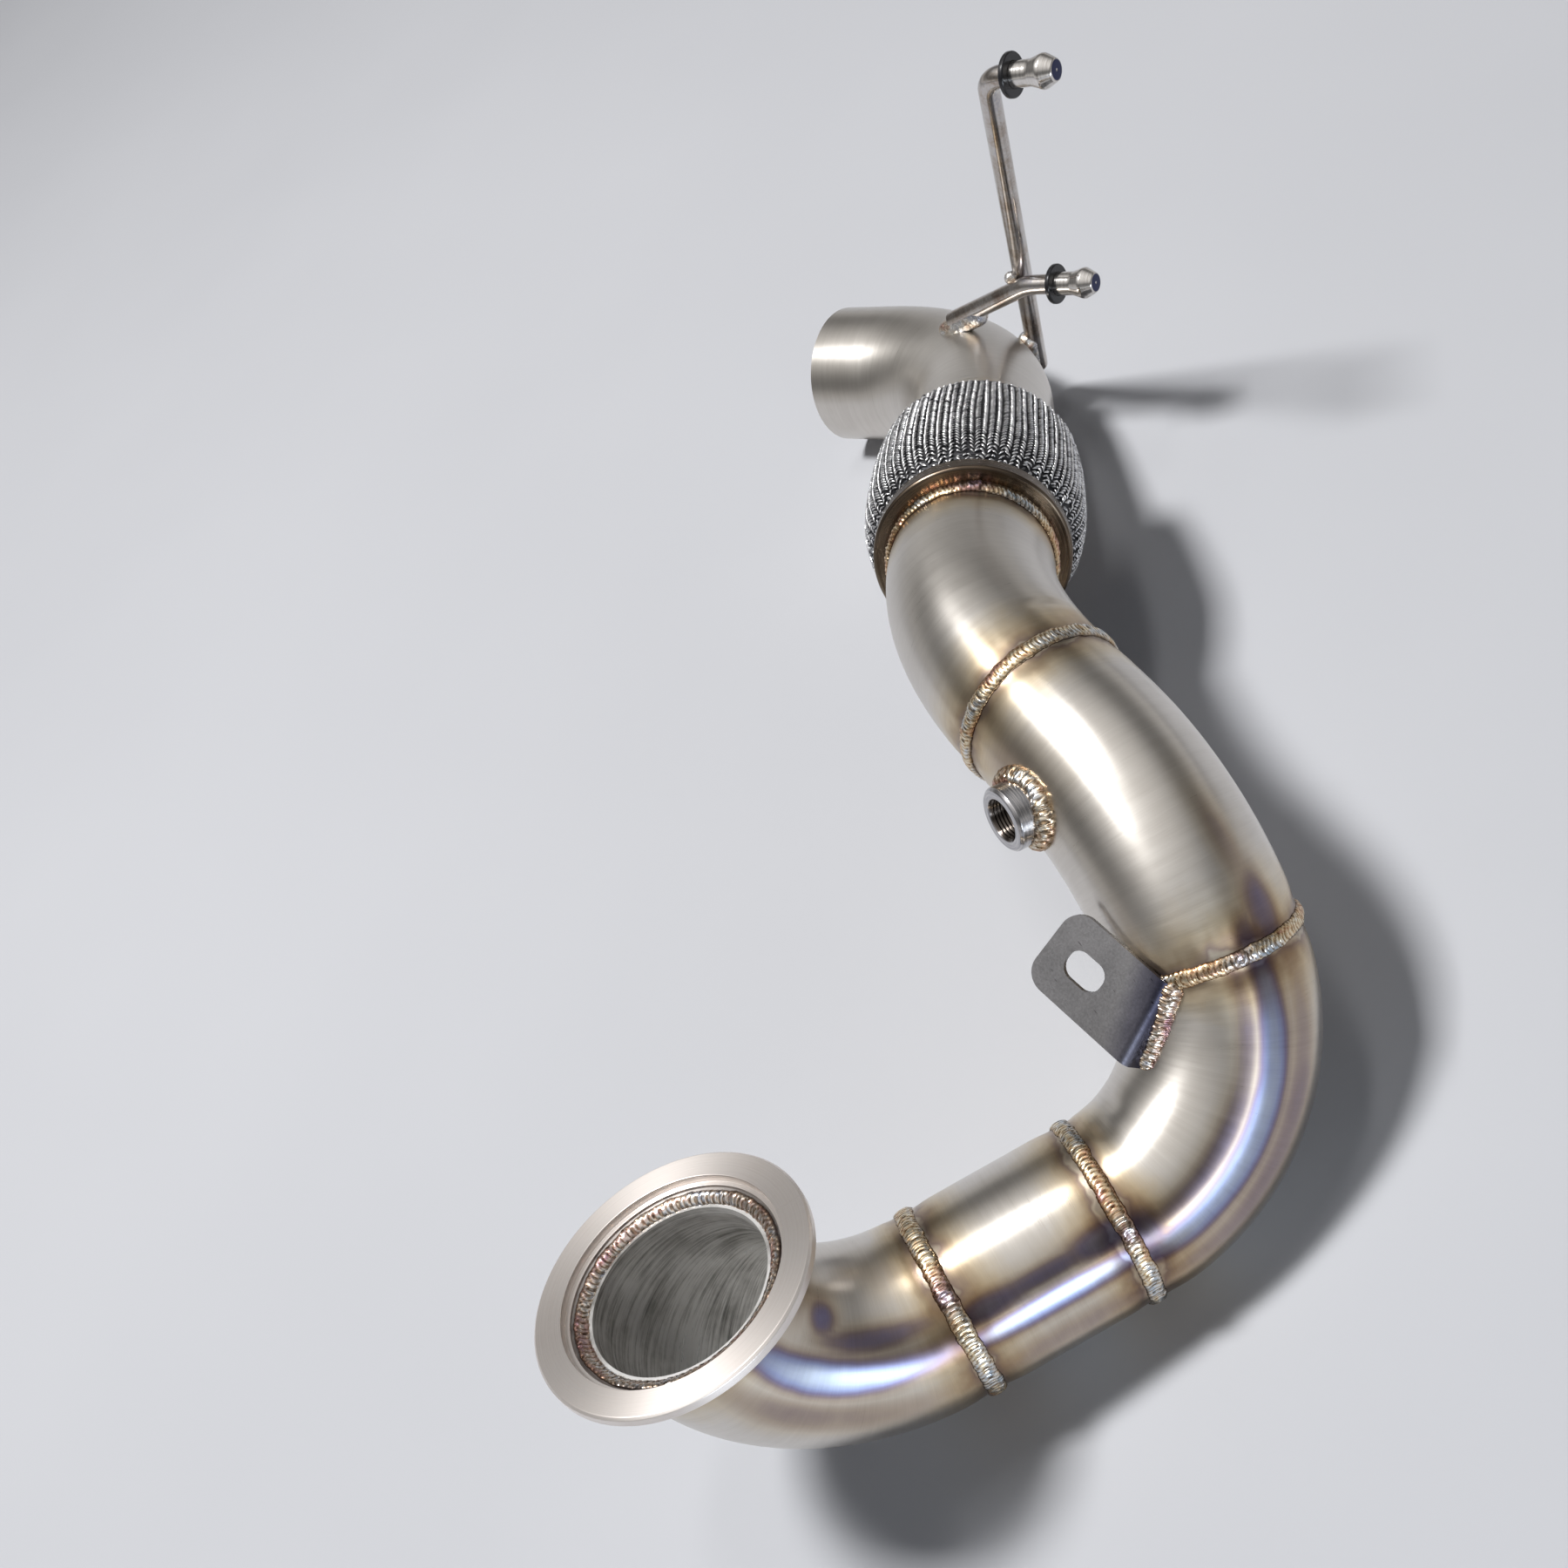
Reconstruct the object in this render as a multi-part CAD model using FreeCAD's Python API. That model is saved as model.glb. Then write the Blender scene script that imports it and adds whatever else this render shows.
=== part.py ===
import FreeCAD, Part
import math
import os

# Turbo downpipe of brushed stainless tube: a V-band inlet ring, three bends
# and a straight, a flex joint under a knitted wire cover, an outlet elbow
# with two hanger rods, a sensor bung and a folded support bracket.
# Lengths are millimetres and angles are degrees.

# Tube
tube_od = 76.2
tube_wall = 1.5

# Route: straight lead, bend radius, bend angle, turn of the bend plane, straight tail
inlet_lead = 10.0
inlet_bend_radius = 77.5
inlet_bend_angle = 87.2
inlet_tail = 7.0
straight_length = 71.0
lower_lead = 3.2
lower_bend_radius = 80.3
lower_bend_angle = 84.3
lower_plane_turn = -25.5
lower_tail = 3.2
sensor_lead = 3.2
sensor_bend_radius = 113.5
sensor_bend_angle = 46.7
sensor_plane_turn = -100.1
sensor_tail = 26.3
upper_lead = 3.2
upper_bend_radius = 146.0
upper_bend_angle = 38.6
upper_plane_turn = -167.2
upper_tail = 13.3
flex_length = 107.0
outlet_lead = 67.5
outlet_bend_radius = 107.5
outlet_bend_angle = 60.4
outlet_plane_turn = -18.8
outlet_tail = 32.5

# Inlet ring
flange_od = 115.0
flange_mouth_dia = 91.8
flange_lip_dia = 87.8
flange_rim_thickness = 4.2
flange_rim_bevel = 1.0
flange_lip_depth = 3.6
flange_lip_width = 2.2
flange_hub_dia = 88.0
flange_cone_depth = 8.0
flange_hub_end_dia = 84.0
flange_depth = 10.0
tube_seat_depth = 7.5
inlet_bead_height = 1.7

# Weld beads round the tube
bead_width = 6.4
bead_height = 1.5

# Flex joint, its rises measured from the outside of the tube
front_collar_rise = 7.7
rear_collar_rise = 10.5
cover_rise = 14.7
collar_skirt_wall = 1.6
collar_disc_thickness = 2.0
collar_disc_setback = 5.0
collar_skirt_length = 9.0
cover_wall = 2.0
cover_end_clearance = 0.2
cover_ridge_count = 44
cover_ridge_height = 1.1
cover_stations = 8
cover_bore_overrun = 1.0
liner_wall = 1.2
liner_gap = 0.8
bellows_wall = 0.5
bellows_turns = 8
bellows_gap = 0.4

# Sensor bung
bung_arc_angle = 38.9
bung_around_angle = 90.4
bung_od = 27.4
bung_height = 11.0
bung_bore_dia = 16.4
bung_chamfer = 1.2
bung_weld_height = 4.0
bung_weld_width = 4.6
port_clearance = 0.6

# Support bracket
bracket_arc_angle = 63.5
bracket_around_angle = 150.8
bracket_thickness = 2.5
bracket_width = 36.0
bracket_length = 45.0
bracket_corner_radius = 9.0
bracket_stand_off = 10.0
bracket_shift_along = 8.7
bracket_shift_around = -2.4
bracket_fold_skew = 10.0
bracket_leg_angle = 70.0
bracket_leg_reach = 26.0
bracket_bend_radius = 3.0
slot_width = 12.5
slot_length = 17.0
slot_from_end = 18.0
slot_corner_radius = 5.6
bracket_bead_radius = 3.4
bracket_bead_overrun = 1.5

# Hanger rods and pins
rod_dia = 10.0
rod_root_gap = 0.3
rod_foot_length = 15.0
long_rod_arc_angle = 22.7
long_rod_around_angle = 13.0
long_rod_turn = 125.4
long_rod_length = 222.2
long_rod_lead = 13.0
long_rod_bend_radius = 12.0
short_rod_arc_angle = 19.8
short_rod_around_angle = 92.4
short_rod_turn = -146.1
short_rod_lift = 19.5
short_rod_length = 60.4
short_rod_lead = 17.0
short_rod_bend_radius = 30.0
pin_shaft_dia = 11.8
pin_shaft_length = 10.4
pin_bulb_dia = 15.4
pin_bulb_start = 16.0
pin_bulb_land = 1.4
pin_tip_dia = 9.6
pin_length = 23.0
pin_back = 1.5
washer_od = 20.0
washer_thickness = 2.6
washer_bevel = 0.5
rod_weld_width = 5.6
rod_weld_length = 24.0
tack_radius = 3.4
tack_offset = 5.2

# Attitude in which the pipe lies at rest, as yaw, pitch and roll
rest_yaw = -117.8
rest_pitch = 75.6
rest_roll = -29.2

tube_radius = tube_od / 2.0
bore_radius = tube_radius - tube_wall
rod_radius = rod_dia / 2.0
bead_half = bead_width / 2.0
nodes = {}


# Geometry helpers. A station is a point on the centre line, the direction of
# travel and a reference direction square to it.
def turned_vector(vector, axis, angle):
    return FreeCAD.Rotation(axis, angle).multVec(vector)


def moved(station, distance):
    point, along, ref = station
    return (point + along * distance, along, ref)


def bend_side(station, plane_turn):
    point, along, ref = station
    return turned_vector(ref, along, plane_turn)


def after_bend(station, radius, angle, plane_turn):
    point, along, ref = station
    side = bend_side(station, plane_turn)
    axis = along.cross(side)
    centre = point + side * radius
    new_point = centre + turned_vector(point - centre, axis, angle)
    new_along = turned_vector(along, axis, angle)
    new_ref = turned_vector(ref, axis, angle)
    return (new_point, new_along, new_ref)


def disc(station, radius):
    circle = Part.makeCircle(radius, station[0], station[1])
    return Part.Face(Part.Wire(circle))


def bar(station, length, radius):
    return Part.makeCylinder(radius, length, station[0], station[1])


def bent_bar(station, bend_radius, angle, plane_turn, radius):
    side = bend_side(station, plane_turn)
    axis = station[1].cross(side)
    centre = station[0] + side * bend_radius
    return disc(station, radius).revolve(centre, axis, angle)


def run_bar(station, lead, bend_radius, angle, plane_turn, tail, radius):
    start_of_bend = moved(station, lead)
    end_of_bend = after_bend(start_of_bend, bend_radius, angle, plane_turn)
    first = bar(station, lead, radius)
    arc = bent_bar(start_of_bend, bend_radius, angle, plane_turn, radius)
    last = bar(end_of_bend, tail, radius)
    return first.fuse([arc, last]).removeSplitter()


def run_end(station, lead, bend_radius, angle, plane_turn, tail):
    start_of_bend = moved(station, lead)
    end_of_bend = after_bend(start_of_bend, bend_radius, angle, plane_turn)
    return moved(end_of_bend, tail)


def run_tube(station, lead, bend_radius, angle, plane_turn, tail):
    outside = run_bar(station, lead, bend_radius, angle, plane_turn, tail, tube_radius)
    inside = run_bar(station, lead, bend_radius, angle, plane_turn, tail, bore_radius)
    return outside.cut(inside)


def on_axis(shape, station):
    point, along, ref = station
    across = along.cross(ref)
    matrix = FreeCAD.Matrix(
        ref.x, across.x, along.x, point.x,
        ref.y, across.y, along.y, point.y,
        ref.z, across.z, along.z, point.z,
        0.0, 0.0, 0.0, 1.0)
    placed = shape.copy()
    placed.Placement = FreeCAD.Placement(matrix.multiply(placed.Placement.Matrix))
    return placed


def turned(profile, station):
    points = [FreeCAD.Vector(radius, 0.0, along) for along, radius in profile]
    points.append(points[0])
    face = Part.Face(Part.makePolygon(points))
    solid = face.revolve(FreeCAD.Vector(0, 0, 0), FreeCAD.Vector(0, 0, 1), 360)
    return on_axis(solid, station)


def surface_point(station, around_angle):
    # Outward normal and skin point, counted round from the outside of the bend
    point, along, side = station
    across = along.cross(side)
    turn = math.radians(around_angle)
    normal = side * -math.cos(turn) + across * math.sin(turn)
    return point + normal * tube_radius, normal, normal.cross(along)


def bend_station(start, lead, bend_radius, angle, plane_turn):
    at = after_bend(moved(start, lead), bend_radius, angle, plane_turn)
    return (at[0], at[1], bend_side(at, plane_turn))


def single(shape):
    return shape.Solids[0] if len(shape.Solids) == 1 else shape


# Route of the centre line, from the face of the inlet ring to the outlet
inlet = (FreeCAD.Vector(0, 0, 0), FreeCAD.Vector(1, 0, 0), FreeCAD.Vector(0, 1, 0))
seam_1 = run_end(inlet, inlet_lead, inlet_bend_radius, inlet_bend_angle, 0.0, inlet_tail)
seam_2 = moved(seam_1, straight_length)
seam_3 = run_end(seam_2, lower_lead, lower_bend_radius, lower_bend_angle, lower_plane_turn, lower_tail)
seam_4 = run_end(seam_3, sensor_lead, sensor_bend_radius, sensor_bend_angle, sensor_plane_turn, sensor_tail)
seam_5 = run_end(seam_4, upper_lead, upper_bend_radius, upper_bend_angle, upper_plane_turn, upper_tail)
seam_6 = moved(seam_5, flex_length)
outlet = run_end(seam_6, outlet_lead, outlet_bend_radius, outlet_bend_angle, outlet_plane_turn, outlet_tail)

# Inlet ring, turned: flat face, inner lip, tapered back and hub
mouth_radius = flange_mouth_dia / 2.0
lip_radius = flange_lip_dia / 2.0
cone_end_depth = flange_lip_depth + flange_lip_width
flange_profile = [
    (0.0, mouth_radius),
    (0.0, flange_od / 2.0 - flange_rim_bevel),
    (flange_rim_bevel, flange_od / 2.0),
    (flange_rim_thickness, flange_od / 2.0),
    (flange_cone_depth, flange_hub_dia / 2.0),
    (flange_depth, flange_hub_end_dia / 2.0),
    (flange_depth, tube_radius),
    (tube_seat_depth, tube_radius),
    (cone_end_depth, lip_radius - flange_rim_bevel),
    (cone_end_depth - flange_rim_bevel, lip_radius),
    (flange_lip_depth, lip_radius),
    (flange_lip_depth, mouth_radius)]
nodes["inlet_flange"] = turned(flange_profile, inlet)

# Bead inside the ring, laid over the end of the tube
seat_slope = (lip_radius - flange_rim_bevel - tube_radius) / (tube_seat_depth - cone_end_depth)
bead_top_depth = cone_end_depth + 0.2
bead_top_radius = lip_radius - flange_rim_bevel - seat_slope * 0.2
bead_mid_radius = (bead_top_radius + tube_radius) / 2.0
bead_mid_depth = (bead_top_depth + tube_seat_depth) / 2.0
inlet_bead_profile = [
    (bead_top_depth, bead_top_radius),
    (tube_seat_depth, tube_radius),
    (tube_seat_depth, bore_radius + 0.3),
    (bead_mid_depth - inlet_bead_height * 0.2, bead_mid_radius - inlet_bead_height),
    (bead_top_depth - 0.3, bead_top_radius - inlet_bead_height * 0.8)]
nodes["inlet_weld"] = turned(inlet_bead_profile, inlet)

# Inlet elbow, seated in the hub of the ring
inlet_start = moved(inlet, tube_seat_depth)
seated_lead = inlet_lead - tube_seat_depth
nodes["inlet_elbow"] = run_tube(
    inlet_start, seated_lead, inlet_bend_radius, inlet_bend_angle, 0.0, inlet_tail)

# Straight tube between the two lower seams
nodes["straight_tube"] = bar(seam_1, straight_length, tube_radius).cut(
    bar(seam_1, straight_length, bore_radius))

# Lower elbow
lower_run = (seam_2, lower_lead, lower_bend_radius, lower_bend_angle, lower_plane_turn, lower_tail)
nodes["lower_elbow"] = run_tube(*lower_run)
lower_body = run_bar(*lower_run, tube_radius)

# Sensor bend with its threaded port
sensor_run = (seam_3, sensor_lead, sensor_bend_radius, sensor_bend_angle, sensor_plane_turn, sensor_tail)
sensor_body = run_bar(*sensor_run, tube_radius)
port = bend_station(seam_3, sensor_lead, sensor_bend_radius, bung_arc_angle, sensor_plane_turn)
port_skin, port_out, port_across = surface_point(port, bung_around_angle)
port_axis = (port[0], port_out, port[1])
port_hole = bar(port_axis, tube_radius + bung_height, bung_bore_dia / 2.0 + port_clearance)
nodes["sensor_bend"] = run_tube(*sensor_run).cut(port_hole)

# Bung, turned and coped to the tube, and the fillet weld round its foot
bung_face = tube_radius + bung_height
bung_foot = tube_radius * 0.72
bung_profile = [
    (bung_foot, bung_bore_dia / 2.0),
    (bung_foot, bung_od / 2.0),
    (bung_face - bung_chamfer, bung_od / 2.0),
    (bung_face, bung_od / 2.0 - bung_chamfer),
    (bung_face, bung_bore_dia / 2.0 + bung_chamfer),
    (bung_face - bung_chamfer, bung_bore_dia / 2.0)]
nodes["sensor_bung"] = single(turned(bung_profile, port_axis).cut(sensor_body))
bung_weld_profile = [
    (bung_foot, bung_od / 2.0),
    (bung_foot, bung_od / 2.0 + bung_weld_width),
    (tube_radius * 0.86, bung_od / 2.0 + bung_weld_width),
    (tube_radius + bung_weld_height * 0.35, bung_od / 2.0 + bung_weld_width * 0.5),
    (tube_radius + bung_weld_height, bung_od / 2.0)]
nodes["bung_weld"] = single(turned(bung_weld_profile, port_axis).cut(sensor_body))

# Upper bend down to the flex joint
nodes["upper_bend"] = run_tube(
    seam_4, upper_lead, upper_bend_radius, upper_bend_angle, upper_plane_turn, upper_tail)

# Beads round the five seams between tubes and at both ends of the flex joint
bead_profile = [
    (-bead_half, tube_radius),
    (-bead_half * 0.72, tube_radius + bead_height * 0.72),
    (-bead_half * 0.25, tube_radius + bead_height),
    (bead_half * 0.25, tube_radius + bead_height),
    (bead_half * 0.72, tube_radius + bead_height * 0.72),
    (bead_half, tube_radius)]
seams = [seam_1, seam_2, seam_3, seam_4, seam_5, seam_6]
for number, seam in enumerate(seams, start=1):
    nodes["seam_weld_%d" % number] = turned(bead_profile, seam)


# Flex joint: a collar at each end with a neck, a disc and a skirt
def collar_profile(rise):
    skirt_outer = tube_radius + rise
    skirt_inner = skirt_outer - collar_skirt_wall
    disc_end = collar_disc_setback + collar_disc_thickness
    return [
        (0.0, bore_radius),
        (0.0, tube_radius),
        (collar_disc_setback, tube_radius),
        (collar_disc_setback, skirt_outer - collar_skirt_wall * 0.6),
        (collar_disc_setback + collar_skirt_wall * 0.6, skirt_outer),
        (collar_disc_setback + collar_skirt_length, skirt_outer),
        (collar_disc_setback + collar_skirt_length, skirt_inner),
        (disc_end, skirt_inner),
        (disc_end, bore_radius)]


flex_back = (seam_6[0], seam_6[1] * -1.0, seam_6[2])
nodes["flex_front_collar"] = turned(collar_profile(front_collar_rise), seam_5)
nodes["flex_rear_collar"] = turned(collar_profile(rear_collar_rise), flex_back)

# Radii at which the ends of the knitted cover tuck under the skirts
front_tuck = tube_radius + front_collar_rise - collar_skirt_wall - cover_end_clearance
rear_tuck = tube_radius + rear_collar_rise - collar_skirt_wall - cover_end_clearance

# Inside the joint: plain liner and convoluted bellows between the discs
inner_start = collar_disc_setback + collar_disc_thickness
inner_end = flex_length - inner_start
liner_radius = bore_radius + liner_gap + liner_wall
liner_profile = [
    (inner_start, liner_radius - liner_wall),
    (inner_start, liner_radius),
    (inner_end, liner_radius),
    (inner_end, liner_radius - liner_wall)]
nodes["flex_liner"] = turned(liner_profile, seam_5)
bellows_root = liner_radius + bellows_gap
bellows_crest = front_tuck - cover_wall - bellows_gap
bellows_depth = bellows_crest - bellows_wall - bellows_root
bellows_pitch = (inner_end - inner_start) / (2.0 * bellows_turns)
crest_line = []
root_line = []
for step in range(2 * bellows_turns + 1):
    depth = bellows_depth if step % 2 else 0.0
    place = inner_start + bellows_pitch * step
    root_line.append((place, bellows_root + depth))
    crest_line.append((place, bellows_root + depth + bellows_wall))
nodes["flex_bellows"] = turned(root_line + crest_line[::-1], seam_5)

# Knitted cover: a barrel with raised wales, its ends tucked under the skirts
cover_max = tube_radius + cover_rise


def cover_radius(share):
    ends = front_tuck + (rear_tuck - front_tuck) * share
    swell = 1.0 - abs(2.0 * share - 1.0) ** 3.2
    return ends + (cover_max - ends) * swell


def wale_ring(place, radius):
    points = []
    for index in range(2 * cover_ridge_count):
        height = 0.0 if index % 2 else cover_ridge_height
        angle = math.pi * index / cover_ridge_count
        reach = radius - cover_ridge_height + height
        points.append(FreeCAD.Vector(reach * math.cos(angle), reach * math.sin(angle), place))
    points.append(points[0])
    return Part.makePolygon(points)


cover_start = inner_start
cover_end = inner_end
tuck_length = collar_disc_setback + collar_skirt_length - inner_start
stations = [(cover_start, 0.0), (cover_start + tuck_length, 0.0)]
for step in range(1, cover_stations):
    share = step / float(cover_stations)
    place = cover_start + tuck_length + (cover_end - cover_start - 2.0 * tuck_length) * share
    stations.append((place, share))
stations += [(cover_end - tuck_length, 1.0), (cover_end, 1.0)]
rings = [wale_ring(place, cover_radius(share)) for place, share in stations]
cover_outside = on_axis(Part.makeLoft(rings, True, True), seam_5)
cover_bore = [(cover_start - cover_bore_overrun, 0.0)]
bore_stations = [(cover_start - cover_bore_overrun, 0.0)] + stations[1:-1]
bore_stations.append((cover_end + cover_bore_overrun, 1.0))
for place, share in bore_stations:
    cover_bore.append((place, cover_radius(share) - cover_wall))
cover_bore.append((cover_end + cover_bore_overrun, 0.0))
nodes["flex_cover"] = single(cover_outside.cut(turned(cover_bore, seam_5)))

# Outlet elbow behind the flex joint
outlet_run = (seam_6, outlet_lead, outlet_bend_radius, outlet_bend_angle, outlet_plane_turn, outlet_tail)
nodes["outlet_elbow"] = run_tube(*outlet_run)
outlet_body = run_bar(*outlet_run, tube_radius)

# Hanger pins point back along the outlet
pin_out = outlet[1] * -1.0


def rod_foot(arc_angle, around_angle, turn, lift):
    at = bend_station(seam_6, outlet_lead, outlet_bend_radius, arc_angle, outlet_plane_turn)
    skin, normal, across = surface_point(at, around_angle)
    flat = at[1] * math.cos(math.radians(turn)) + across * math.sin(math.radians(turn))
    heading = flat * math.cos(math.radians(lift)) + normal * math.sin(math.radians(lift))
    stand = rod_radius * math.cos(math.radians(lift)) + rod_root_gap
    return skin + normal * stand, heading, normal


def square_to(direction):
    spare = FreeCAD.Vector(0, 0, 1) if abs(direction.z) < 0.8 else FreeCAD.Vector(1, 0, 0)
    return direction.cross(spare).normalize()


def hanger_rod(foot_end, heading, corner, lead, bend_radius):
    # Straight bar to the corner, a bend, and a straight up to the back of the pin
    turn = math.degrees(heading.getAngle(pin_out))
    setback = bend_radius * math.tan(math.radians(turn) / 2.0)
    first = corner - heading * setback
    side = (pin_out - heading * heading.dot(pin_out)).normalize()
    start = (foot_end, heading, side)
    length = (first - foot_end).Length
    return run_bar(start, length, bend_radius, turn, 0.0, lead - pin_back - setback, rod_radius)


def hanger_pin(seat):
    profile = [
        (-pin_back, 0.0),
        (-pin_back, pin_shaft_dia / 2.0),
        (pin_shaft_length, pin_shaft_dia / 2.0),
        (pin_bulb_start, pin_bulb_dia / 2.0),
        (pin_bulb_start + pin_bulb_land, pin_bulb_dia / 2.0),
        (pin_length, pin_tip_dia / 2.0),
        (pin_length, 0.0)]
    return turned(profile, (seat, pin_out, square_to(pin_out)))


def stop_washer(seat):
    half = washer_thickness / 2.0
    profile = [
        (-half, pin_shaft_dia / 2.0),
        (-half, washer_od / 2.0 - washer_bevel),
        (-half + washer_bevel, washer_od / 2.0),
        (half - washer_bevel, washer_od / 2.0),
        (half, washer_od / 2.0 - washer_bevel),
        (half, pin_shaft_dia / 2.0)]
    return turned(profile, (seat, pin_out, square_to(pin_out)))


def foot_weld(foot, heading, normal, rod, shift):
    # Rounded bead along the foot of a rod, trimmed to the rod and the tube
    centre = foot - normal * (rod_radius * 0.75) + heading * shift
    start = centre - heading * (rod_weld_length / 2.0)
    bead = Part.makeCylinder(rod_weld_width, rod_weld_length, start, heading)
    bead = bead.fuse([Part.makeSphere(rod_weld_width, start)])
    bead = bead.fuse([Part.makeSphere(rod_weld_width, start + heading * rod_weld_length)])
    trimmed = bead.removeSplitter().cut(outlet_body).cut(rod)
    biggest = max(trimmed.Solids, key=lambda solid: solid.Volume)
    return biggest


# Long rod, past the back of the elbow and out to the upper pin
long_foot, long_heading, long_normal = rod_foot(
    long_rod_arc_angle, long_rod_around_angle, long_rod_turn, 0.0)
long_corner = long_foot + long_heading * long_rod_length
long_seat = long_corner + pin_out * long_rod_lead
long_end = long_foot - long_heading * rod_foot_length
nodes["hanger_rod_long"] = hanger_rod(
    long_end, long_heading, long_corner, long_rod_lead, long_rod_bend_radius)
nodes["hanger_pin_long"] = hanger_pin(long_seat)
nodes["stop_washer_long"] = stop_washer(long_seat)
nodes["hanger_weld_long"] = foot_weld(
    long_foot, long_heading, long_normal, nodes["hanger_rod_long"], 0.0)

# Short rod, from the side of the elbow to the lower pin
short_foot, short_heading, short_normal = rod_foot(
    short_rod_arc_angle, short_rod_around_angle, short_rod_turn, short_rod_lift)
short_corner = short_foot + short_heading * short_rod_length
short_seat = short_corner + pin_out * short_rod_lead
nodes["hanger_rod_short"] = hanger_rod(
    short_foot, short_heading, short_corner, short_rod_lead, short_rod_bend_radius)
nodes["hanger_pin_short"] = hanger_pin(short_seat)
nodes["stop_washer_short"] = stop_washer(short_seat)
nodes["hanger_weld_short"] = foot_weld(
    short_foot, short_heading, short_normal, nodes["hanger_rod_short"], rod_weld_length * 0.3)


# Tack weld in the notch where the rods cross
def closest_points(point_a, way_a, point_b, way_b):
    between = point_a - point_b
    mix = way_a.dot(way_b)
    share = 1.0 - mix * mix
    step_a = (mix * way_b.dot(between) - way_a.dot(between)) / share
    step_b = (way_b.dot(between) - mix * way_a.dot(between)) / share
    return point_a + way_a * step_a, point_b + way_b * step_b


near_long, near_short = closest_points(long_foot, long_heading, short_foot, short_heading)
tack_way = (long_heading - short_heading).normalize()
tack_centre = (near_long + near_short) * 0.5 + tack_way * tack_offset
tack = Part.makeSphere(tack_radius, tack_centre)
tack = tack.cut(nodes["hanger_rod_long"]).cut(nodes["hanger_rod_short"])
nodes["rod_tack_weld"] = max(tack.Solids, key=lambda solid: solid.Volume)

# Support bracket: a folded plate with one slot, its leg coped to the lower elbow.
# The plate is drawn in its own axes: x to the free end, y across, z off its face.
bracket_at = bend_station(seam_2, lower_lead, lower_bend_radius, bracket_arc_angle, lower_plane_turn)
foot_skin, foot_normal, foot_across = surface_point(bracket_at, bracket_around_angle)
leg_bend = bracket_thickness + bracket_bend_radius
fold_reach = bracket_width + bracket_length
leg_angle = math.radians(bracket_leg_angle)
plate_z = FreeCAD.Vector(0, 0, 1)


def folded_strip():
    # Side view of the fold: flat, inside and outside arcs, leg
    inner = bracket_bend_radius
    outer = leg_bend
    centre = FreeCAD.Vector(0, 0, -outer)
    flat_out = FreeCAD.Vector(bracket_length * 1.6, 0, 0)
    flat_in = FreeCAD.Vector(bracket_length * 1.6, 0, -bracket_thickness)

    def at(radius, angle):
        return centre + FreeCAD.Vector(-radius * math.sin(angle), 0, radius * math.cos(angle))

    down = FreeCAD.Vector(-math.cos(leg_angle), 0, -math.sin(leg_angle)) * bracket_leg_reach
    outer_end = at(outer, leg_angle)
    inner_end_point = at(inner, leg_angle)
    edges = [
        Part.LineSegment(flat_out, at(outer, 0.0)).toShape(),
        Part.Arc(at(outer, 0.0), at(outer, leg_angle / 2.0), outer_end).toShape(),
        Part.LineSegment(outer_end, outer_end + down).toShape(),
        Part.LineSegment(outer_end + down, inner_end_point + down).toShape(),
        Part.LineSegment(inner_end_point + down, inner_end_point).toShape(),
        Part.Arc(inner_end_point, at(inner, leg_angle / 2.0), at(inner, 0.0)).toShape(),
        Part.LineSegment(at(inner, 0.0), flat_in).toShape(),
        Part.LineSegment(flat_in, flat_out).toShape()]
    face = Part.Face(Part.Wire(edges))
    face.translate(FreeCAD.Vector(0, -fold_reach, 0))
    strip = face.extrude(FreeCAD.Vector(0, 2.0 * fold_reach, 0))
    strip.rotate(FreeCAD.Vector(0, 0, 0), plate_z, bracket_fold_skew)
    return strip


def bracket_outline():
    # Rectangle with its two free corners rounded, swept off the face both ways
    back = -bracket_leg_reach - leg_bend
    depth = 2.0 * (bracket_leg_reach + leg_bend)
    block = Part.makeBox(
        bracket_length - back, bracket_width, depth,
        FreeCAD.Vector(back, -bracket_width / 2.0, -depth / 2.0))
    corners = []
    for edge in block.Edges:
        box = edge.BoundBox
        if box.XMin > bracket_length - 0.01 and box.ZLength > depth - 0.01:
            corners.append(edge)
    return block.makeFillet(bracket_corner_radius, corners)


def bracket_slot():
    depth = 2.0 * (bracket_leg_reach + leg_bend)
    near_side = bracket_length - slot_from_end - slot_length / 2.0
    block = Part.makeBox(
        slot_length, slot_width, depth,
        FreeCAD.Vector(near_side, -slot_width / 2.0, -depth / 2.0))
    upright = [edge for edge in block.Edges if edge.BoundBox.ZLength > depth - 0.01]
    return block.makeFillet(slot_corner_radius, upright)


# The plate's axes, given in the directions along, out of and round the elbow
along_dir = bracket_at[1]
out_dir = foot_normal
round_dir = foot_across * -1.0


def in_elbow_axes(along_part, out_part, round_part):
    vector = along_dir * along_part + out_dir * out_part + round_dir * round_part
    return vector.normalize()


plate_out_x = in_elbow_axes(0.617, 0.314, -0.722)
plate_across = in_elbow_axes(0.786, -0.295, 0.543)
plate_face = plate_across.cross(plate_out_x).normalize()
fold_point = (foot_skin + along_dir * bracket_shift_along
              + out_dir * bracket_stand_off + foot_across * bracket_shift_around)
plate = folded_strip().common(bracket_outline()).cut(bracket_slot())
plate_station = (fold_point, plate_face, plate_out_x)
bracket = on_axis(plate, plate_station).cut(lower_body)
bracket = bracket.cut(sensor_body).cut(nodes["seam_weld_3"])
nodes["support_bracket"] = max(bracket.Solids, key=lambda solid: solid.Volume)

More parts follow.
